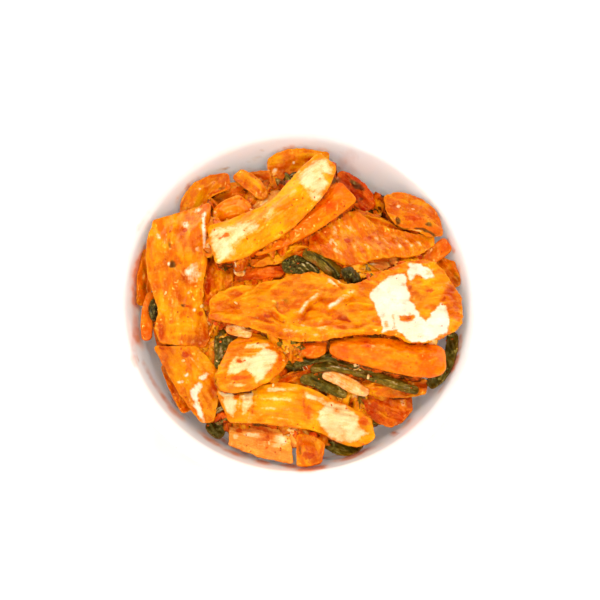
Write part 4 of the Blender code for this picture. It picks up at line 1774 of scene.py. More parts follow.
CUTS: tuple[Cut, ...] = (
    Cut("leaf_large", Kind.BLADE, BLADE, 0, (0, 0.55, 0.12, 0), seed=3,
        change=(("fold", 0.8), ("flare", 0.6), ("ragged", 0.7), ("crinkle", 0.06), ("blister", 0.12)), marks=(
        Area(P, ((11.2, 2), (17.7, 9.3), (23.5, 10), (25.3, 1), (27.7, -4), (30, -7.8),
            (32.2, -4.5), (35.3, -0.5), (37.5, -1), (38.5, -5.5), (37.9, -10.5), (34.2, -13.5),
            (28.7, -15.8), (24.2, -14.8), (20.2, -11.1), (15.7, -11.5), (14.9, -7.5),
            (13.3, -3)), 0.6),
        Area(P, ((25, 13.7), (29.2, 13.9), (33.2, 11.5), (33.7, 9.1), (30.7, 8.1), (27.7, 9.7),
            (25.7, 7.9), (24.3, 9.5)), 0.7, 0.9),
        Area(Y, ((20.7, -5.1), (26.5, -5.1), (25.9, -7.8), (21.1, -7.1)), 0.5, 0.9),
        Patch(Y, 31.2, 1.9, 6.6, 4.4, 8), Patch(Y, 30.2, -3.5, 2.4, 5),
        Patch(S, 32.2, 4.1, 3, 1.8, 10, 0.8), Patch(S, 25.2, 4.9, 1.2, 1.6, 0, 0.7),
        Patch(S, 36.7, 1.5, 1.6, 2, 0, 0.7), Patch(S, 30.7, -2.1, 1.2, 1.6, 0, 0.6),
        Patch(S, 24.7, -6.3, 1.2, 0.7, 0, 0.7), Patch(Y, 16.7, -9, 1.2, 2.4, 0, 0.7),
        Patch(S, 40.7, -3.5, 1.8, 7, 0, 0.6), Patch(S, 38.7, 3.5, 3, 4, 0, 0.7),
        Patch(Y, 15.7, 8, 7, 1.6, 35, 0.9), Patch(Y, 6.7, -7.5, 8, 3.5, -6), Patch(Y, -9.3, 7, 6, 2, -4),
        Patch(D, -18.3, -0.5, 5, 4, 40, 0.36), Patch(D, -10.3, 5.5, 6, 3, 10, 0.2),
        Patch(Y, -17.3, 4.5, 5, 3, 0, 0.9), Patch(S, -32.3, 2, 3, 2.4, 0, 0.8),
        Patch(S, -23.3, -6, 2.2, 1.4, 0, 0.9), Patch(S, -35.3, -2.5, 3, 2, 0, 0.6),
        Patch(S, 0.7, -6.5, 5, 2, -8, 0.7), Patch(S, 10.7, -3.5, 3, 4, 0, 0.5),
        Vein(Y, 19.1, -4.5, 19.7, -11, 0, 0.5, -0.2, 0.7),
        # The sunken S and D lines beside the raised pale veins darken the creases: partly sauce in them,
        # partly painted shade.
        Vein(P, -12.8, -6.5, -3.8, 2, 1.7, 1.1, 1.5, 0.53),
        Vein(S, -11.7, -7.5, -2.9, 0.5, 1.5, 0.7, -1.1, 0.5),
        Vein(P, -4.7, -4.9, 6.2, 0.9, 0.8, 1.1, 1.4, 0.53),
        Vein(S, -3.3, -6.1, 6.7, -0.5, 0.7, 0.6, -1, 0.5),
        Vein(P, -12.9, -9.1, -1.3, -10.1, -1.3, 0.9, 1.3, 0.43),
        Vein(Y, -1.3, -3.9, 12.7, -2.1, 1.4, 0.8, 1.1), Vein(S, 0.2, -6.5, 5.2, -8.3, 0.2, 0.6, -1.2, 0.9),
        Vein(Y, -16.3, -8.9, -7.3, -11.5, -0.7, 0.9, 1.3),
        Vein(Y, -3.3, -12.1, 11.7, -10.1, -0.9, 0.8, 1.1),
        Vein(S, -1.3, -10.5, 12.7, -8.1, -0.8, 0.6, -0.9, 0.4),
        Vein(Y, 6.7, -5.5, 14.7, -4.5, 0.5, 0.8, 0.9), Vein(S, -10.3, -3.5, -1.3, -6.1, 1, 0.7, -0.7, 0.5),
        Vein(Y, -21.3, -2.5, -15.3, -7.1, -0.9, 0.8, 1.1),
        Vein(S, -22.7, -3.5, -16.7, -8.3, -0.9, 0.6, -0.9, 0.5),
        Vein(D, -20.3, -1, -16.3, -4.5, -1.6, 0.7, -0.7, 0.4),
        Vein(P, -2.8, 7.5, 1.7, 3.5, -0.6, 0.6, 0.9, 0.43),
        Vein(P, -0.3, 7.9, 4.3, 3.5, -0.6, 0.5, 0.8, 0.37),
        Vein(S, -1.3, 7.3, 3.1, 3.1, -0.6, 0.4, -0.7, 0.6), Vein(Y, -38.3, 2.9, -27.3, 5.7, 0.8, 0.8, 1.1),
        Vein(Y, -27.3, 5.9, -19.3, 7.1, 0.8, 0.8, 1), Vein(Y, -35.3, -0.5, -26.3, 2.9, 0.6, 0.7, 0.8),
        Vein(S, -34.3, 0.1, -25.3, 3.3, 0.6, 0.5, -0.7, 0.5),
        Vein(P, -19.3, -11, -11.3, -12.1, 0, 0.8, 0.9, 0.37),
        Vein(P, -16.3, -12.7, -5.3, -12.9, -0.3, 0.5, 0.5, 0.37),
        Vein(P, -9.8, -1.5, -5.3, 1.9, 0.6, 0.7, 0.8, 0.37),
        Vein(P, -0.3, -1.1, 6.7, 2.1, 0.4, 0.6, 0.7, 0.37),
        Vein(D, -15.3, 1.5, -7.3, 5.1, -1.2, 1.2, -0.8, 0.3), Vein(Y, -23.3, 3.5, -14.3, 7.9, 1, 1, 1, 0.9),
        Vein(Y, -28.3, -8.1, -19.3, -10.1, 0.4, 0.7, 0.9),
        Vein(S, -29.3, -6.5, -21.3, -8.5, 0.4, 0.5, -0.7, 0.5),
    )),
    Cut("stem_long", Kind.STEM, STEM, 38, (0.1, 0.75, 0, 0), seed=5, swell=1.3, marks=(
        Area(P, ((-20.4, -8.2), (-13.4, -7.5), (-5.9, -5.3), (-4, -8.2), (-8.4, -11.8),
            (-12.4, -15.3), (-14.4, -19.3), (-18.4, -19.6), (-21, -13.8)), 1.6, 0.8),
        Area(P, ((8.6, 11.2), (16.1, 18.2), (21.4, 14.7), (18.6, 6.2), (13.6, 0.2),
            (11.2, 4.2)), 1.8, 0.85),
        Patch(P, -0.4, -3.8, 5, 3, 38, 0.45), Patch(Y, 2.6, -7.8, 10, 2.4, 38),
        Patch(Y, 8.6, 1.2, 7, 4, 45), Patch(S, -15.4, -11.4, 2.6, 1.5, 5, 0.8),
        Patch(S, -17.4, -12.2, 1.2, 0.8, 0, 0.9), Patch(S, 0.6, -7.3, 1.6, 2, 0, 0.35),
        Patch(S, 4.6, -2.8, 1.4, 1.2, 0, 0.35), Patch(S, 17.6, 11.7, 1, 1.4, 0, 0.45),
        Patch(S, 16.8, 14.2, 0.8, 0.8, 0, 0.45), Patch(Y, 19.6, 10.2, 1.4, 4, 70),
    )),
    Cut("stem_front_long", Kind.STEM, STEM, -8, (0.15, 0.75, 0.08, 0), seed=7,
        change=(("rib", 0.26), ("rib_gap", 2.2)), marks=(
        Area(P, ((-26, 8.1), (-20.6, 7.7), (-20.2, 2.7), (-21, -0.9), (-23, -0.3),
            (-24.6, 4.7)), 0.8, 0.9),
        Area(P, ((-18.6, 7.1), (-14.6, 7.7), (-14.4, 1.7), (-18, -0.3)), 1, 0.75),
        Patch(P, -6.6, 7.7, 5.6, 1.1, 0, 0.85),
        Area(P, ((3, 7.2), (10.4, 5.3), (17, 3.3), (21.4, -0.5), (21.2, -3.9), (25, -5.7),
            (19.4, -8.3), (15.4, -9.3), (11.4, -7.3), (8, -2.9), (7.4, 0.7), (9.8, 3.3),
            (4.4, 5.1)), 1, 0.9),
        Patch(S, -20.1, 6.2, 1.5, 1.7), Patch(Y, -5.6, 2.2, 8, 4.6), Patch(S, 13.7, 1.9, 1.3, 1.8, 20, 0.7),
        Patch(S, 22.8, -1.9, 2.6, 2.4, -40, 0.75), Patch(S, 4.4, 0.7, 2, 3.4, 0, 0.6),
        Patch(S, 6.4, 6.7, 8, 1.6, -18, 0.5), Vein(S, -13.8, 8.7, -15, -1.3, 0, 0.5, -0.35, 0.4),
        Vein(S, 2.6, 9.2, 3, -3.3, 0, 0.5, -0.35, 0.4), Vein(P, -12.6, 4.7, -0.6, 3.9, 0, 0.5, 0.28, 0.5),
        Vein(P, -12.6, 1.7, -1.6, 1.1, 0, 0.5, 0.28, 0.45),
        Vein(P, -11.6, -0.9, -1.6, -1.7, 0, 0.5, 0.28, 0.4),
        Vein(P, -18.2, 7.7, -19.6, -0.3, 0, 0.5, 0.2, 0.4),
    )),
    Cut("stem_diamond", Kind.STEM, STEM, 12, (0, 0.3, 0.3, 0), seed=11,
        change=(("rib", 0.22), ("rib_gap", 2)), marks=(
        Area(P, ((-2.8, 4.4), (-1.8, 6.3), (5.2, 6.3), (6.2, 5.1), (-0.8, 3.8)), 0.5, 0.8),
        Area(P, ((-8.4, -2.4), (-5.3, 1.3), (0.2, 1.7), (5.7, 5.1), (8.6, 2.6), (6.6, -2.9),
            (1.7, -7.7), (0.2, -5.4), (-1.8, -2.9), (-4.8, -4.3), (-8.3, -4.9)), 0.9, 0.95),
        Patch(P, -4.3, -8.1, 4, 0.8, 0, 0.6), Patch(S, -4.2, -0.1, 1.5, 1.1, 0, 0.9),
        Patch(S, -3.8, -5.7, 5, 1.2, 0, 0.85), Patch(S, -1.8, 7.5, 8, 1.8, -4, 0.6),
        Patch(S, 9.4, 1.1, 1.6, 4, 0, 0.9), Patch(Y, 6.2, -5.9, 3, 2, 50),
        Vein(P, -2.8, 2.5, 5.2, 3.1, 0, 0.4, 0.2, 0.4), Vein(P, -6.8, 0.9, 2.2, 1.3, 0, 0.4, 0.2, 0.3),
    )),
    Cut("leaf_left", Kind.STEM, BLADE, 88, (0, 0.5, 0.25, 0), seed=13, swell=1.1,
        change=(("sway", 0.9), ("rib", 0.15), ("ragged", 0.6), ("blister", 0.16)), marks=(
        Area(P, ((2, 1), (5.9, 4.3), (7.1, 0.5), (5.6, -4.3), (3.2, -3.5)), 1.4, 0.75),
        Patch(P, 6.4, 22.5, 3.6, 1.2, 12, 0.7), Patch(P, 8.6, 15.5, 0.9, 8, 4, 0.9),
        Patch(P, 2, 17.5, 2, 2.2, 0, 0.6), Patch(P, -6.9, 13.3, 1.8, 0.8, -60, 0.5),
        # Pale patches (6.2, 7.9), (-3.6, 3.7), (-2.6, -9.5) and (3.4, -6.5) are painted highlights: glints on
        # the wet leaf.
        Patch(P, 6.2, 7.9, 1.6, 1.1, 20), Patch(S, 1.8, 14.8, 1.2, 1.8, 20), Patch(S, 4, 8.3, 0.8, 0.9),
        Patch(D, -3.2, 9.5, 1, 3.4, 10, 0.62), Patch(D, -2.2, 3.1, 1.7, 1.9, 0, 0.75),
        Patch(P, -3.6, 3.7, 0.7, 1, 0, 0.8), Patch(P, -5.2, 11.5, 1.2, 1.4, 0, 0.4),
        Patch(S, -8.2, -0.5, 2, 14, 0, 0.5), Patch(S, -6.2, -19.5, 1.6, 4, 0, 0.9),
        Patch(Y, 3.4, 6.5, 5, 3.4), Patch(Y, 2.4, -17.5, 8, 5), Patch(Y, 4.4, -5.5, 4, 3),
        Patch(P, -2.6, -9.5, 0.8, 1.8, 0, 0.5), Patch(P, 3.4, -6.5, 0.8, 0.9, 0, 0.6),
        Patch(D, 2.8, -11.3, 3.2, 0.8, -18, 0.9), Patch(S, 3, -11.3, 1.5, 0.6, -18, 0.9),
        Patch(P, 5.4, -12.5, 0.8, 0.9, 0, 0.6), Patch(S, 7.4, -13.5, 1.6, 1.4, 0, 0.8),
        Vein(Y, -4.6, -17.5, 7.4, -18.1, 0.5, 0.7, 0.5), Vein(Y, -3.6, -20.5, 7.4, -20.9, 0.5, 0.7, 0.5),
        Vein(P, 8.8, 22.5, 8.4, 5.5, 0.2, 0.5, 0.35, 0.8),
    )),
    Cut("leaf_corner", Kind.STEM, BLADE, -62, (0, 0.6, 0.15, 0), seed=17,
        change=(("rib", 0.16), ("rib_gap", 2.6), ("blister", 0.2), ("sway", 0.7)), marks=(
        Area(P, ((1.6, -2.3), (4.2, 0.3), (5.4, -1.6), (3.6, -4.5), (5.2, -8.1), (6.3, -12.7),
            (4.6, -11.7), (2.4, -7.5)), 0.7, 0.95),
        Area(P, ((4.2, 1.1), (6.6, 3.5), (8.2, 2.9), (6, 0.5)), 0.6, 0.9),
        # Pale patches (-5, 5.5), (-2, 0.7), (0.2, 2.7) and (-2.8, 13.7) are painted highlights: glints on the
        # wet leaf.
        Patch(P, -5, 5.5, 1.3, 0.8, -30, 0.9), Patch(P, -2, 0.7, 1.8, 0.8),
        Patch(P, 0.2, 2.7, 1, 0.7, 30, 0.7), Patch(P, -2.8, 13.7, 2, 0.9, 0, 0.5),
        Patch(S, 0, 9.5, 2, 1.6, -40, 0.9), Patch(S, -8.8, 12.5, 1.6, 1.2, 0, 0.8),
        Patch(S, 8.8, -3.1, 1.8, 8, 0, 0.5), Patch(S, 3, 5.9, 3, 2, -40, 0.4),
        Patch(Y, -3.4, 3.9, 2, 8, 28), Vein(P, 0.6, 8.9, 4.6, 3.9, 0.4, 0.5, 0.4, 0.5),
    )),
    Cut("leaf_fan_back", Kind.BLADE, BLADE, -62, (0.05, 0.3, 0.28, 0.06), seed=19,
        change=(("fold", 0.45), ("fold_width", 3), ("ragged", 0.5)), marks=(
        Patch(P, -12.7, 2.4, 1.6, 3.4, -8, 0.5), Patch(P, -14.1, -2.6, 1.1, 3.2, 0, 0.42),
        Patch(P, -8.1, 4.4, 1.9, 1, -40, 0.4), Patch(S, -8.3, -1.4, 1.5, 1.3),
        Patch(S, -0.7, 0.6, 1.3, 1.2), Patch(S, -19.5, -1, 1.6, 2.6, 0, 0.8),
        Patch(P, -11.7, -6.4, 4, 1.2, -28, 0.45), Patch(Y, -3.7, -6.4, 6, 1.6, 10, 0.6),
        Vein(P, -4.3, 7, 0.3, 4, 0.3, 0.92, 0.35, 0.31),
        Vein(P, -0.1, 2.6, 3.7, -2.4, 0.3, 0.81, 0.35, 0.31),
        Vein(P, -3.1, -1.6, -0.7, -5, 0.2, 0.57, 0.35, 0.37),
        Vein(P, 3.7, 1, 5.9, -3, 0.2, 0.57, 0.35, 0.37),
        Vein(P, 7.7, 0.4, 10.3, -3.8, 0.2, 0.57, 0.35, 0.37),
        Vein(P, 11.5, -0.2, 14.1, -3.6, 0.2, 0.57, 0.35, 0.4),
        Vein(P, 15.3, -0.6, 17.3, -3, 0.2, 0.52, 0.3, 0.31),
        Vein(P, 1.9, -3, 3.3, -5.4, 0.2, 0.52, 0.3, 0.31),
        Vein(P, -13.7, -1, -12.3, -6, 0.1, 0.57, 0.3, 0.31),
    )),
    Cut("leaf_curl_right", Kind.BLADE, BLADE, -30, (0, 0.2, 0.45, 0.12), seed=23,
        change=(("fold", 0.6), ("ragged", 0.4), ("blister", 0.35), ("sway", 0.9)), marks=(
        Patch(D, -5.3, -1.8, 1.1, 2.2, 15), Patch(D, 4.7, -4.6, 2.2, 1.2, -10, 0.8),
        # Pale patches (-5.3, 3.2) and (-0.3, 2) are painted highlights: glints on the wet leaf.
        Patch(S, -0.3, -1.8, 6, 1.6, -18, 0.8), Patch(P, -5.3, 3.2, 1, 0.8, 0, 0.7),
        Patch(P, -0.3, 2, 1.2, 0.6, -30, 0.7), Patch(Y, -1.3, 4.8, 8, 1.4, -14),
        Patch(S, -0.3, -6.8, 5, 1, -6, 0.5), Vein(D, -6.3, -2.8, -0.7, -5.2, -0.7, 0.55, -0.7),
        Vein(D, -0.7, -5.2, 7.7, -8.8, 0.8, 0.55, -0.7), Vein(P, -3.3, -6, 3.3, -6.8, 0.2, 0.4, 0.5, 0.4),
    )),
    Cut("leaf_back", Kind.BLADE, BLADE, 8, (0, 0.35, 0.25, 0.05), seed=29,
        change=(("fold", 0.6), ("ragged", 0.4), ("blister", 0.4), ("sway", 0.8)), marks=(
        # Pale patches (-8.3, -1.2), (-1.5, 0.8) and (0.7, -1.4) are painted highlights: glints on the wet
        # leaf.
        Patch(P, -8.3, -1.2, 1.6, 1, 30, 0.7), Patch(P, -1.5, 0.8, 0.8, 0.7, 0, 0.8),
        Patch(Y, -7.3, 2.6, 1.8, 1), Patch(Y, 2.7, 3.4, 7, 0.9, 4, 0.8), Patch(S, 4.7, 1.8, 5, 0.8, 0, 0.8),
        Patch(S, -4.3, -2.6, 3, 1.4, -20, 0.7), Patch(D, 2.7, 0, 4, 0.8, 10, 0.5),
        Patch(P, 0.7, -1.4, 1, 0.5, 0, 0.5),
    )),
    Cut("leaf_curl_left", Kind.BLADE, BLADE, 60, (0, 0.3, 0.2, 0), seed=31,
        change=(("fold", 0.4), ("ragged", 0.3), ("sway", 0.8)), marks=(
        # Pale patch (-1.8, 2.3) is a painted highlight: a glint on the wet leaf.
        Patch(Y, -1.8, -2.3, 2.2, 3.4), Patch(P, -1.8, 2.3, 0.8, 0.6, 0, 0.8),
        Patch(S, 4.2, 1.7, 4, 1, 20, 0.8), Patch(D, 6.2, 2.7, 3, 1, 10, 0.6),
        Patch(S, -5.8, -3.9, 1.4, 4, 0, 0.5), Vein(S, -4.8, 1.1, -5.4, -5.9, 0.2, 0.6, -0.4, 0.5),
    )),
    Cut("leaf_triangle_back", Kind.BLADE, BLADE, -48, (0, 0.35, 0.2, 0), seed=37,
        change=(("fold", 0.3), ("ragged", 0.2)), marks=(
        Patch(S, -1.6, 0.2, 2, 1.4, -40, 0.7), Patch(D, -1, 0, 1.4, 1, 0, 0.5),
        Vein(Y, -2.6, 4, 4.4, -3.4, 0.6, 0.8, 0.8),
    )),
    Cut("leaf_brown_back", Kind.BLADE, BLADE, 5, (0, 0.1, 0.4, 0.25), seed=41,
        change=(("ragged", 0.3),)),
    # These leaves lie against the wall and under other cuts; their dark ground is partly their own brown,
    # partly painted shade.
    Cut("leaf_by_left_wall", Kind.BLADE, BLADE, 85, (0, 0.1, 0.4, 0.4), seed=43,
        change=(("ragged", 0.3),)),
    Cut("leaf_by_right_wall", Kind.BLADE, BLADE, -50, (0, 0.1, 0.4, 0.4), seed=47,
        change=(("ragged", 0.3),)),
    Cut("leaf_under_corner", Kind.BLADE, BLADE, -65, (0, 0.1, 0.5, 0.2), seed=53,
        change=(("ragged", 0.3),)),
    Cut("leaf_amber_front", Kind.BLADE, BLADE, 5, (0, 0.3, 0.35, 0.05), seed=59,
        change=(("ragged", 0.4),), marks=(
        Vein(Y, -7.2, 0.3, 6.8, 0.5, 0.4, 0.6, 0.6, 0.8),
    )),
    Cut("leaf_fold_middle", Kind.BLADE, BLADE, 15, (0, 0.4, 0.3, 0.05), seed=61,
        change=(("ragged", 0.6),), marks=(
        Vein(Y, -5.9, -1.8, 9.1, 3.2, -0.6, 0.6, 0.8), Vein(Y, -1.9, 2.2, 9.1, 4.6, 0, 0.5, 0.6),
    )),
    Cut("leaf_red", Kind.PEPPER, BLADE, -20, (0, 0.05, 0.75, 0), seed=67,
        change=(("fold", 0.9), ("ragged", 0.7), ("blister", 0.4)), marks=(
        # Dark patch (-5.9, 3.2) at the top-left is painted shade; pale patch (5.6, 1.8) is pale flesh with
        # painted sheen.
        Patch(P, 5.6, 1.8, 1.6, 2.4, 0, 0.45), Patch(Y, -1.4, -1.2, 3, 1.6, -20, 0.5),
        Patch(D, -5.9, 3.2, 2.6, 1, -10, 0.6),
    )),
    Cut("leaf_shadow_back", Kind.BLADE, BLADE, 10, (0, 0.1, 0.4, 0.4), seed=211,
        change=(("ragged", 0.3),)),
    Cut("leaf_strip_back", Kind.BLADE, BLADE, -25, (0, 0.1, 0.5, 0.2), seed=223, swell=0.2,
        change=(("ragged", 0.3),), marks=(
        Vein(Y, -8, 3.9, 8, -3.1, 0.4, 0.5, 0.5, 0.5),
    )),
    Cut("leaf_under_fan", Kind.BLADE, BLADE, 5, (0, 0.15, 0.55, 0.05), seed=227,
        change=(("ragged", 0.3),)),
    Cut("leaf_wedge_left", Kind.BLADE, BLADE, -85, (0, 0.35, 0.35, 0), seed=229, swell=1.8,
        change=(("ragged", 0.4), ("blister", 0.3)), marks=(
        Patch(S, -3.1, -2.1, 1.4, 8), Patch(S, -2.5, -7.1, 3, 2), Patch(Y, 1.5, 4.9, 2.4, 3, 0, 0.8),
    )),
    # This leaf fills a dark hole in the heap; its dark ground is partly its own brown, partly painted shade.
    Cut("leaf_brown_front", Kind.BLADE, BLADE, 12, (0, 0, 0.5, 0.4), seed=233,
        change=(("ragged", 0.3),)),
    Cut("stem_front", Kind.STEM, ONION, -14, (0.2, 0.3, 0.3, 0), seed=71,
        change=(("sway", 0.8), ("blister", 0.25), ("ragged", 0.7)), marks=(
        Patch(P, -2.7, 2.5, 3, 1.6, -10), Patch(P, -8.7, 2.1, 1.6, 1.4, 0, 0.8),
        Patch(P, 6.3, 0.5, 3.4, 3, -30, 0.7), Patch(S, -7.5, 4.1, 1.6, 1.2, 10),
        Patch(S, 0.3, 4.9, 6, 1.2, -10, 0.8), Patch(S, 2.3, 1.5, 2, 2.4, 0, 0.6),
        Patch(S, -5.7, -0.1, 4, 1, -20, 0.6),
    )),
    Cut("stem_thumb_front", Kind.STEM, BLADE, -70, (0, 0.3, 0.35, 0), seed=73,
        change=(("blister", 0.2), ("round_over", 2.2)), marks=(
        Patch(Y, 2.7, 1.9, 1.2, 3.4), Patch(D, -3.7, 0.9, 0.9, 4, 0, 0.7),
        Patch(S, -0.7, -2.1, 4, 1.6, 0, 0.9),
    )),
    Cut("carrot_slab", Kind.CARROT, CARROT, -6, (0, 0.45, 0.05, 0), seed=79,
        change=(("round_over", 1.4), ("blister", 0.16)), marks=(
        # Pale patches (-5.2, 2.8) and (-2, 0.4) are painted highlights: glints on the wet carrot.
        Patch(P, -5.2, 2.8, 1, 0.9, 0, 0.8), Patch(P, -2, 0.4, 0.9, 0.8, 0, 0.8),
        Patch(S, 9.4, -2.6, 1.3, 1.1, 0, 0.7), Patch(S, -7.6, 4.4, 1.8, 0.9, 0, 0.6),
        Patch(S, 3.4, -5.2, 8, 1, -8, 0.4), Patch(Y, 5.4, -1.2, 8, 2.4, -8),
    )),
    Cut("carrot_plank", Kind.CARROT, CARROT, 40, (0, 0.25, 0.1, 0), seed=83, marks=(
        Patch(S, 1, 1.1, 3.4, 1.4, 38, 0.5), Patch(Y, 4, -3.9, 12, 1.4, 36),
        Patch(S, -10, -8.9, 4, 1.4, 30, 0.4), Patch(Y, 13, 8.1, 4, 2, 40, 0.7),
    )),
    Cut("carrot_block", Kind.CARROT, CARROT, 8, (0, 0.5, 0.05, 0), seed=89,
        change=(("round_over", 0.6), ("sway", 0.1), ("blister", 0.05)), marks=(
        Patch(Y, -0.7, 0.9, 4.6, 3.6), Patch(S, -3.1, -4.3, 3, 1.2, 0, 0.9),
        Patch(S, 4.9, -1.1, 1.8, 3.4, -10, 0.6),
    )),
    Cut("carrot_chip", Kind.CARROT, CARROT, 5, (0, 0.15, 0.35, 0), seed=97),
    Cut("carrot_baton_right", Kind.CARROT, CARROT, 42, (0, 0.25, 0.2, 0), seed=101),
    Cut("carrot_strip_left", Kind.CARROT, CARROT, 85, (0, 0.3, 0.3, 0.1), seed=103),
    Cut("carrot_bit_left", Kind.CARROT, CARROT, -60, (0, 0.3, 0.2, 0.05), seed=239),
    Cut("pepper_skin", Kind.PEPPER, CHILI, -45, (0, 0.25, 0.4, 0), seed=107,
        change=(("round_over", 0.8), ("blister", 0.35)), marks=(
        # Pale patch (-5.3, 4.8) is a painted highlight: glints on the wet skin.
        Patch(D, 1.1, 2.8, 7, 1.7, -38, 0.85), Patch(P, -5.3, 4.8, 1.4, 1.4, 0, 0.8),
        Patch(D, -4.9, 4, 2, 2.2, 0, 0.6), Patch(D, 2.5, -2.6, 2, 1.2, 0, 0.5), Patch(S, 3.1, -6.6, 2.6, 1),
    )),
    Cut("pepper_strip", Kind.PEPPER, CHILI, 6, (0, 0.5, 0.2, 0.1), seed=109),
    Cut("onion_left", Kind.ONION, ONION, 0, (0.5, 0.1, 0.35, 0), seed=113, change=(("blister", 0.3),)),
    Cut("onion_back", Kind.ONION, ONION, 42, (0.3, 0.1, 0.2, 0.1), seed=127),
    Cut("onion_front", Kind.ONION, ONION, -25, (0.5, 0.1, 0.2, 0), seed=131),
    Cut("onion_middle", Kind.ONION, ONION, 5, (0.2, 0.3, 0.3, 0.2), seed=137, marks=(
        Vein(P, -3.8, 0.6, 2.2, -0.4, 0.2, 0.4, 0.4, 0.8),
    )),
    Cut("green_leaf_middle", Kind.GREEN, GREEN, -8, (0, 0, 0.1, 0.6), seed=139, marks=(
        # The pale raised lines are painted highlights: glints along the wet ridges.
        Vein(P, 1.2, 1.4, 5.2, -2.2, 0.2, 0.35, 0.5, 0.8),
        Vein(P, -1.8, -0.6, 1.2, -2.6, 0.2, 0.35, 0.4, 0.7),
        Vein(P, -0.4, 0.8, 2.8, -2.4, 0.2, 0.3, 0.4, 0.7),
    )),
    Cut("scallion_middle", Kind.GREEN, GREEN, -42, (0.05, 0.6, 0.3, 0.1), seed=149, marks=(
        Patch(Y, -5, 3.1, 3, 1.4, -30), Vein(D, -4, 3.7, 5, -4.3, 0.8, 0.5, -0.4, 0.8),
        Vein(P, 1, -0.3, 4, -3.7, 0.2, 0.3, 0.3, 0.5),
    )),
    Cut("green_dome_middle", Kind.GREEN, GREEN, -70, (0, 0.1, 0.1, 0.6), seed=151,
        change=(("round_over", 1.8),)),
    Cut("green_tuft_left", Kind.GREEN, GREEN, 90, (0, 0, 0.2, 0.7), seed=157,
        change=(("blister", 0.35),), marks=(
        Patch(P, -0.6, 2, 0.5, 0.9, 0, 0.7), Patch(P, 0, -0.6, 0.4, 0.5, 0, 0.7),
    )),
    Cut("green_tuft_front", Kind.GREEN, GREEN, -40, (0, 0.1, 0.2, 0.6), seed=163,
        change=(("blister", 0.3),)),
    Cut("green_curl_front", Kind.GREEN, GREEN, -15, (0.05, 0.15, 0.05, 0.3), seed=167, marks=(
        Patch(Y, -4.8, 2.7, 2.4, 1),
    )),
    Cut("green_arc_by_wall", Kind.GREEN, GREEN, -70, (0, 0.25, 0.2, 0.4), seed=173),
    Cut("green_fold_back", Kind.GREEN, GREEN, 30, (0, 0, 0, 0.8), seed=179, marks=(
        Vein(P, -2.6, 0.5, 1.4, 2.9, 0.1, 0.35, 0.4, 0.9), Vein(P, -1, 0.3, 2, 2.3, 0.1, 0.25, 0.3, 0.6),
    )),
    Cut("leaf_dark_back", Kind.GREEN, GREEN, -65, (0, 0.1, 0.1, 0.5), seed=181, swell=1.8,
        change=(("sway", 1.4),), marks=(
        Vein(P, 0.3, 3.6, 1.3, 0.6, 0.1, 0.3, 0.3, 0.4),
    )),
    Cut("leaf_dark_front", Kind.GREEN, GREEN, -25, (0.1, 0.4, 0.1, 0.2), seed=191,
        change=(("blister", 0.25),)),
    Cut("chive_long", Kind.GREEN, GREEN, -16, (0.1, 0.45, 0.15, 0.2), seed=193,
        change=(("round_over", 0.9),), marks=(
        # The pale lines are painted highlights: gloss along the wet chive.
        Vein(P, -12.9, 3.6, -2.9, 2.2, 0.3, 0.35, 0.2, 0.6),
        Vein(P, 3.1, 0.2, 17.1, -4, 0.1, 0.3, 0.2, 0.4),
    )),
    Cut("chive_short", Kind.GREEN, GREEN, -4, (0, 0.2, 0.15, 0.5), seed=197,
        change=(("round_over", 0.9),)),
    Cut("scallion_leaf_left", Kind.GREEN, GREEN, 78, (0.1, 0.25, 0.1, 0.2), seed=199,
        change=(("blister", 0.35), ("blister_size", 1)), marks=(
        Patch(P, -1.7, -0.6, 0.8, 4.6, 6, 0.5), Patch(P, -1.3, -3, 0.8, 1, 0, 0.6),
    )),
)


# ---------------- the studio


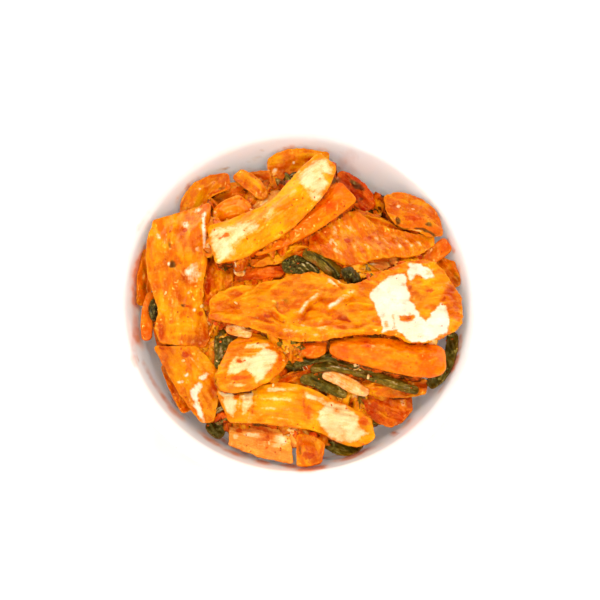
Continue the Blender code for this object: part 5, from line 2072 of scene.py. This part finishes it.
@dataclass
class Studio:
    """The camera, the table and the lights."""

    elevation: float = 75.0  # the camera's, in degrees over the table
    distance: float = 650.0  # from the camera to its aim, in mm
    lens: float = 114.4
    sensor: float = 36.0
    aim: tuple[float, float, float] = (1.0, -0.3, RIM_TOP)
    sky: Four = (0.10, 0.62, 2.3, 0.36)  # it fades between two heights from one strength to another
    sky_colour: Four = (1.0, 0.97, 0.93, 1.0)
    light: Colour = (1.0, 0.96, 0.86)
    reach: float = 700.0  # from the lamps to the food
    target: tuple[float, float, float] = (0.0, 0.0, 50.0)
    table_side: float = 4.0  # half of it, in metres
    table_gap: float = 0.2  # under the foot, in mm
    lamps: tuple[tuple[str, float, float, float, float], ...] = (  # name, heading, height, size, power
        ("front", 262.0, 46.0, 240.0, 0.40),
        ("front_left", 232.0, 64.0, 80.0, 0.9),
        ("front_right", 316.0, 66.0, 80.0, 0.95),
        ("back_left", 122.0, 64.0, 80.0, 1.25),
        ("back_right", 58.0, 70.0, 80.0, 1.05),
        ("left", 182.0, 45.0, 66.0, 0.20),
        ("right", 4.0, 47.0, 66.0, 0.20),
    )

    def build(self) -> None:
        """Sets them up."""
        self.camera()
        self.table()
        for name, heading, height, size, power in self.lamps:
            self.softbox(name, heading, height, size, power)
        self.surround()
        bpy.context.scene.view_settings.view_transform = "Standard"

    def surround(self) -> None:
        """Lights the room evenly from the sides and dimly from overhead."""
        world = bpy.data.worlds.new("studio")
        world.use_nodes = True
        tree = world.node_tree
        place = tree.nodes.new("ShaderNodeTexCoord")
        split = tree.nodes.new("ShaderNodeSeparateXYZ")
        fade = tree.nodes.new("ShaderNodeMapRange")
        fade.interpolation_type = "SMOOTHSTEP"
        for key, value in zip(("From Min", "From Max", "To Min", "To Max"), self.sky):
            fade.inputs[key].default_value = value
        tree.links.new(place.outputs["Generated"], split.inputs[0])
        tree.links.new(split.outputs["Z"], fade.inputs["Value"])
        tree.links.new(fade.outputs[0], tree.nodes["Background"].inputs["Strength"])
        tree.nodes["Background"].inputs["Color"].default_value = self.sky_colour
        bpy.context.scene.world = world

    def camera(self) -> None:
        """Looks down on the bowl from the diner's side."""
        lean = math.radians(self.elevation)
        aim = Vector(self.aim)
        place = aim + Vector((0, -math.cos(lean), math.sin(lean))) * self.distance
        camera = bpy.data.objects.new("camera", bpy.data.cameras.new("camera"))
        camera.data.lens = self.lens
        camera.data.sensor_width = self.sensor
        camera.location = place * MM
        camera.rotation_euler = (aim - place).to_track_quat("-Z", "Y").to_euler()
        bpy.context.scene.collection.objects.link(camera)
        bpy.context.scene.camera = camera

    def table(self) -> None:
        """A wide white table just under the foot."""
        side = self.table_side
        mesh = bpy.data.meshes.new("table")
        corners = [(-side, -side, 0), (side, -side, 0), (side, side, 0), (-side, side, 0)]
        mesh.from_pydata(corners, [], [(0, 1, 2, 3)])
        table = bpy.data.objects.new("table", mesh)
        table.location.z = -self.table_gap * MM
        mesh.materials.append(MATERIALS[TABLETOP.name])
        bpy.context.scene.collection.objects.link(table)

    def softbox(self, name: str, heading: float, height: float, size: float, power: float) -> None:
        """One square light that faces the bowl.

        Args:
            name: Its name.
            heading: Its direction from the bowl, in degrees from +X.
            height: Its height, in degrees over the table.
            size: Its side, in mm.
            power: Its power, in watts.
        """
        light = bpy.data.lights.new(name, "AREA")
        light.shape = "SQUARE"
        light.size = size * MM
        light.energy = power
        light.color = self.light
        turn, lift = math.radians(heading), math.radians(height)
        aim = Vector((math.cos(turn) * math.cos(lift), math.sin(turn) * math.cos(lift), math.sin(lift)))
        lamp = bpy.data.objects.new(name, light)
        lamp.location = (Vector(self.target) + aim * self.reach) * MM
        lamp.rotation_euler = (-aim).to_track_quat("-Z", "Y").to_euler()
        bpy.context.scene.collection.objects.link(lamp)


def clear_start() -> None:
    """Takes away what a new file holds, and keeps the frame."""
    for obj in list(bpy.data.objects):
        if obj.name in ("Cube", "Light", "Camera") and "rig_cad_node" not in obj:
            bpy.data.objects.remove(obj, do_unlink=True)


def main() -> None:
    """Builds the dish from the inside out, then the small things on it, then the studio."""
    logging.basicConfig(level=logging.INFO, format="%(message)s")
    clear_start()
    MATERIALS.update((finish.name, finish.make()) for finish in FINISHES)
    cuts = [cut.build() for cut in CUTS]
    core = Core().build(cuts)
    food = [mesh_points(piece)[::CUT_SHARE] for piece in cuts] + [mesh_points(core)[::CORE_SHARE]]
    Bowl().build(np.vstack(food))
    scatter = Scatter(11)
    for scraps in SCRAPS:
        scraps.build(scatter)
    scatter = Scatter(13)
    for bits in BITS:
        bits.build(scatter)
    Studio().build()


if __name__ == "__main__":
    main()
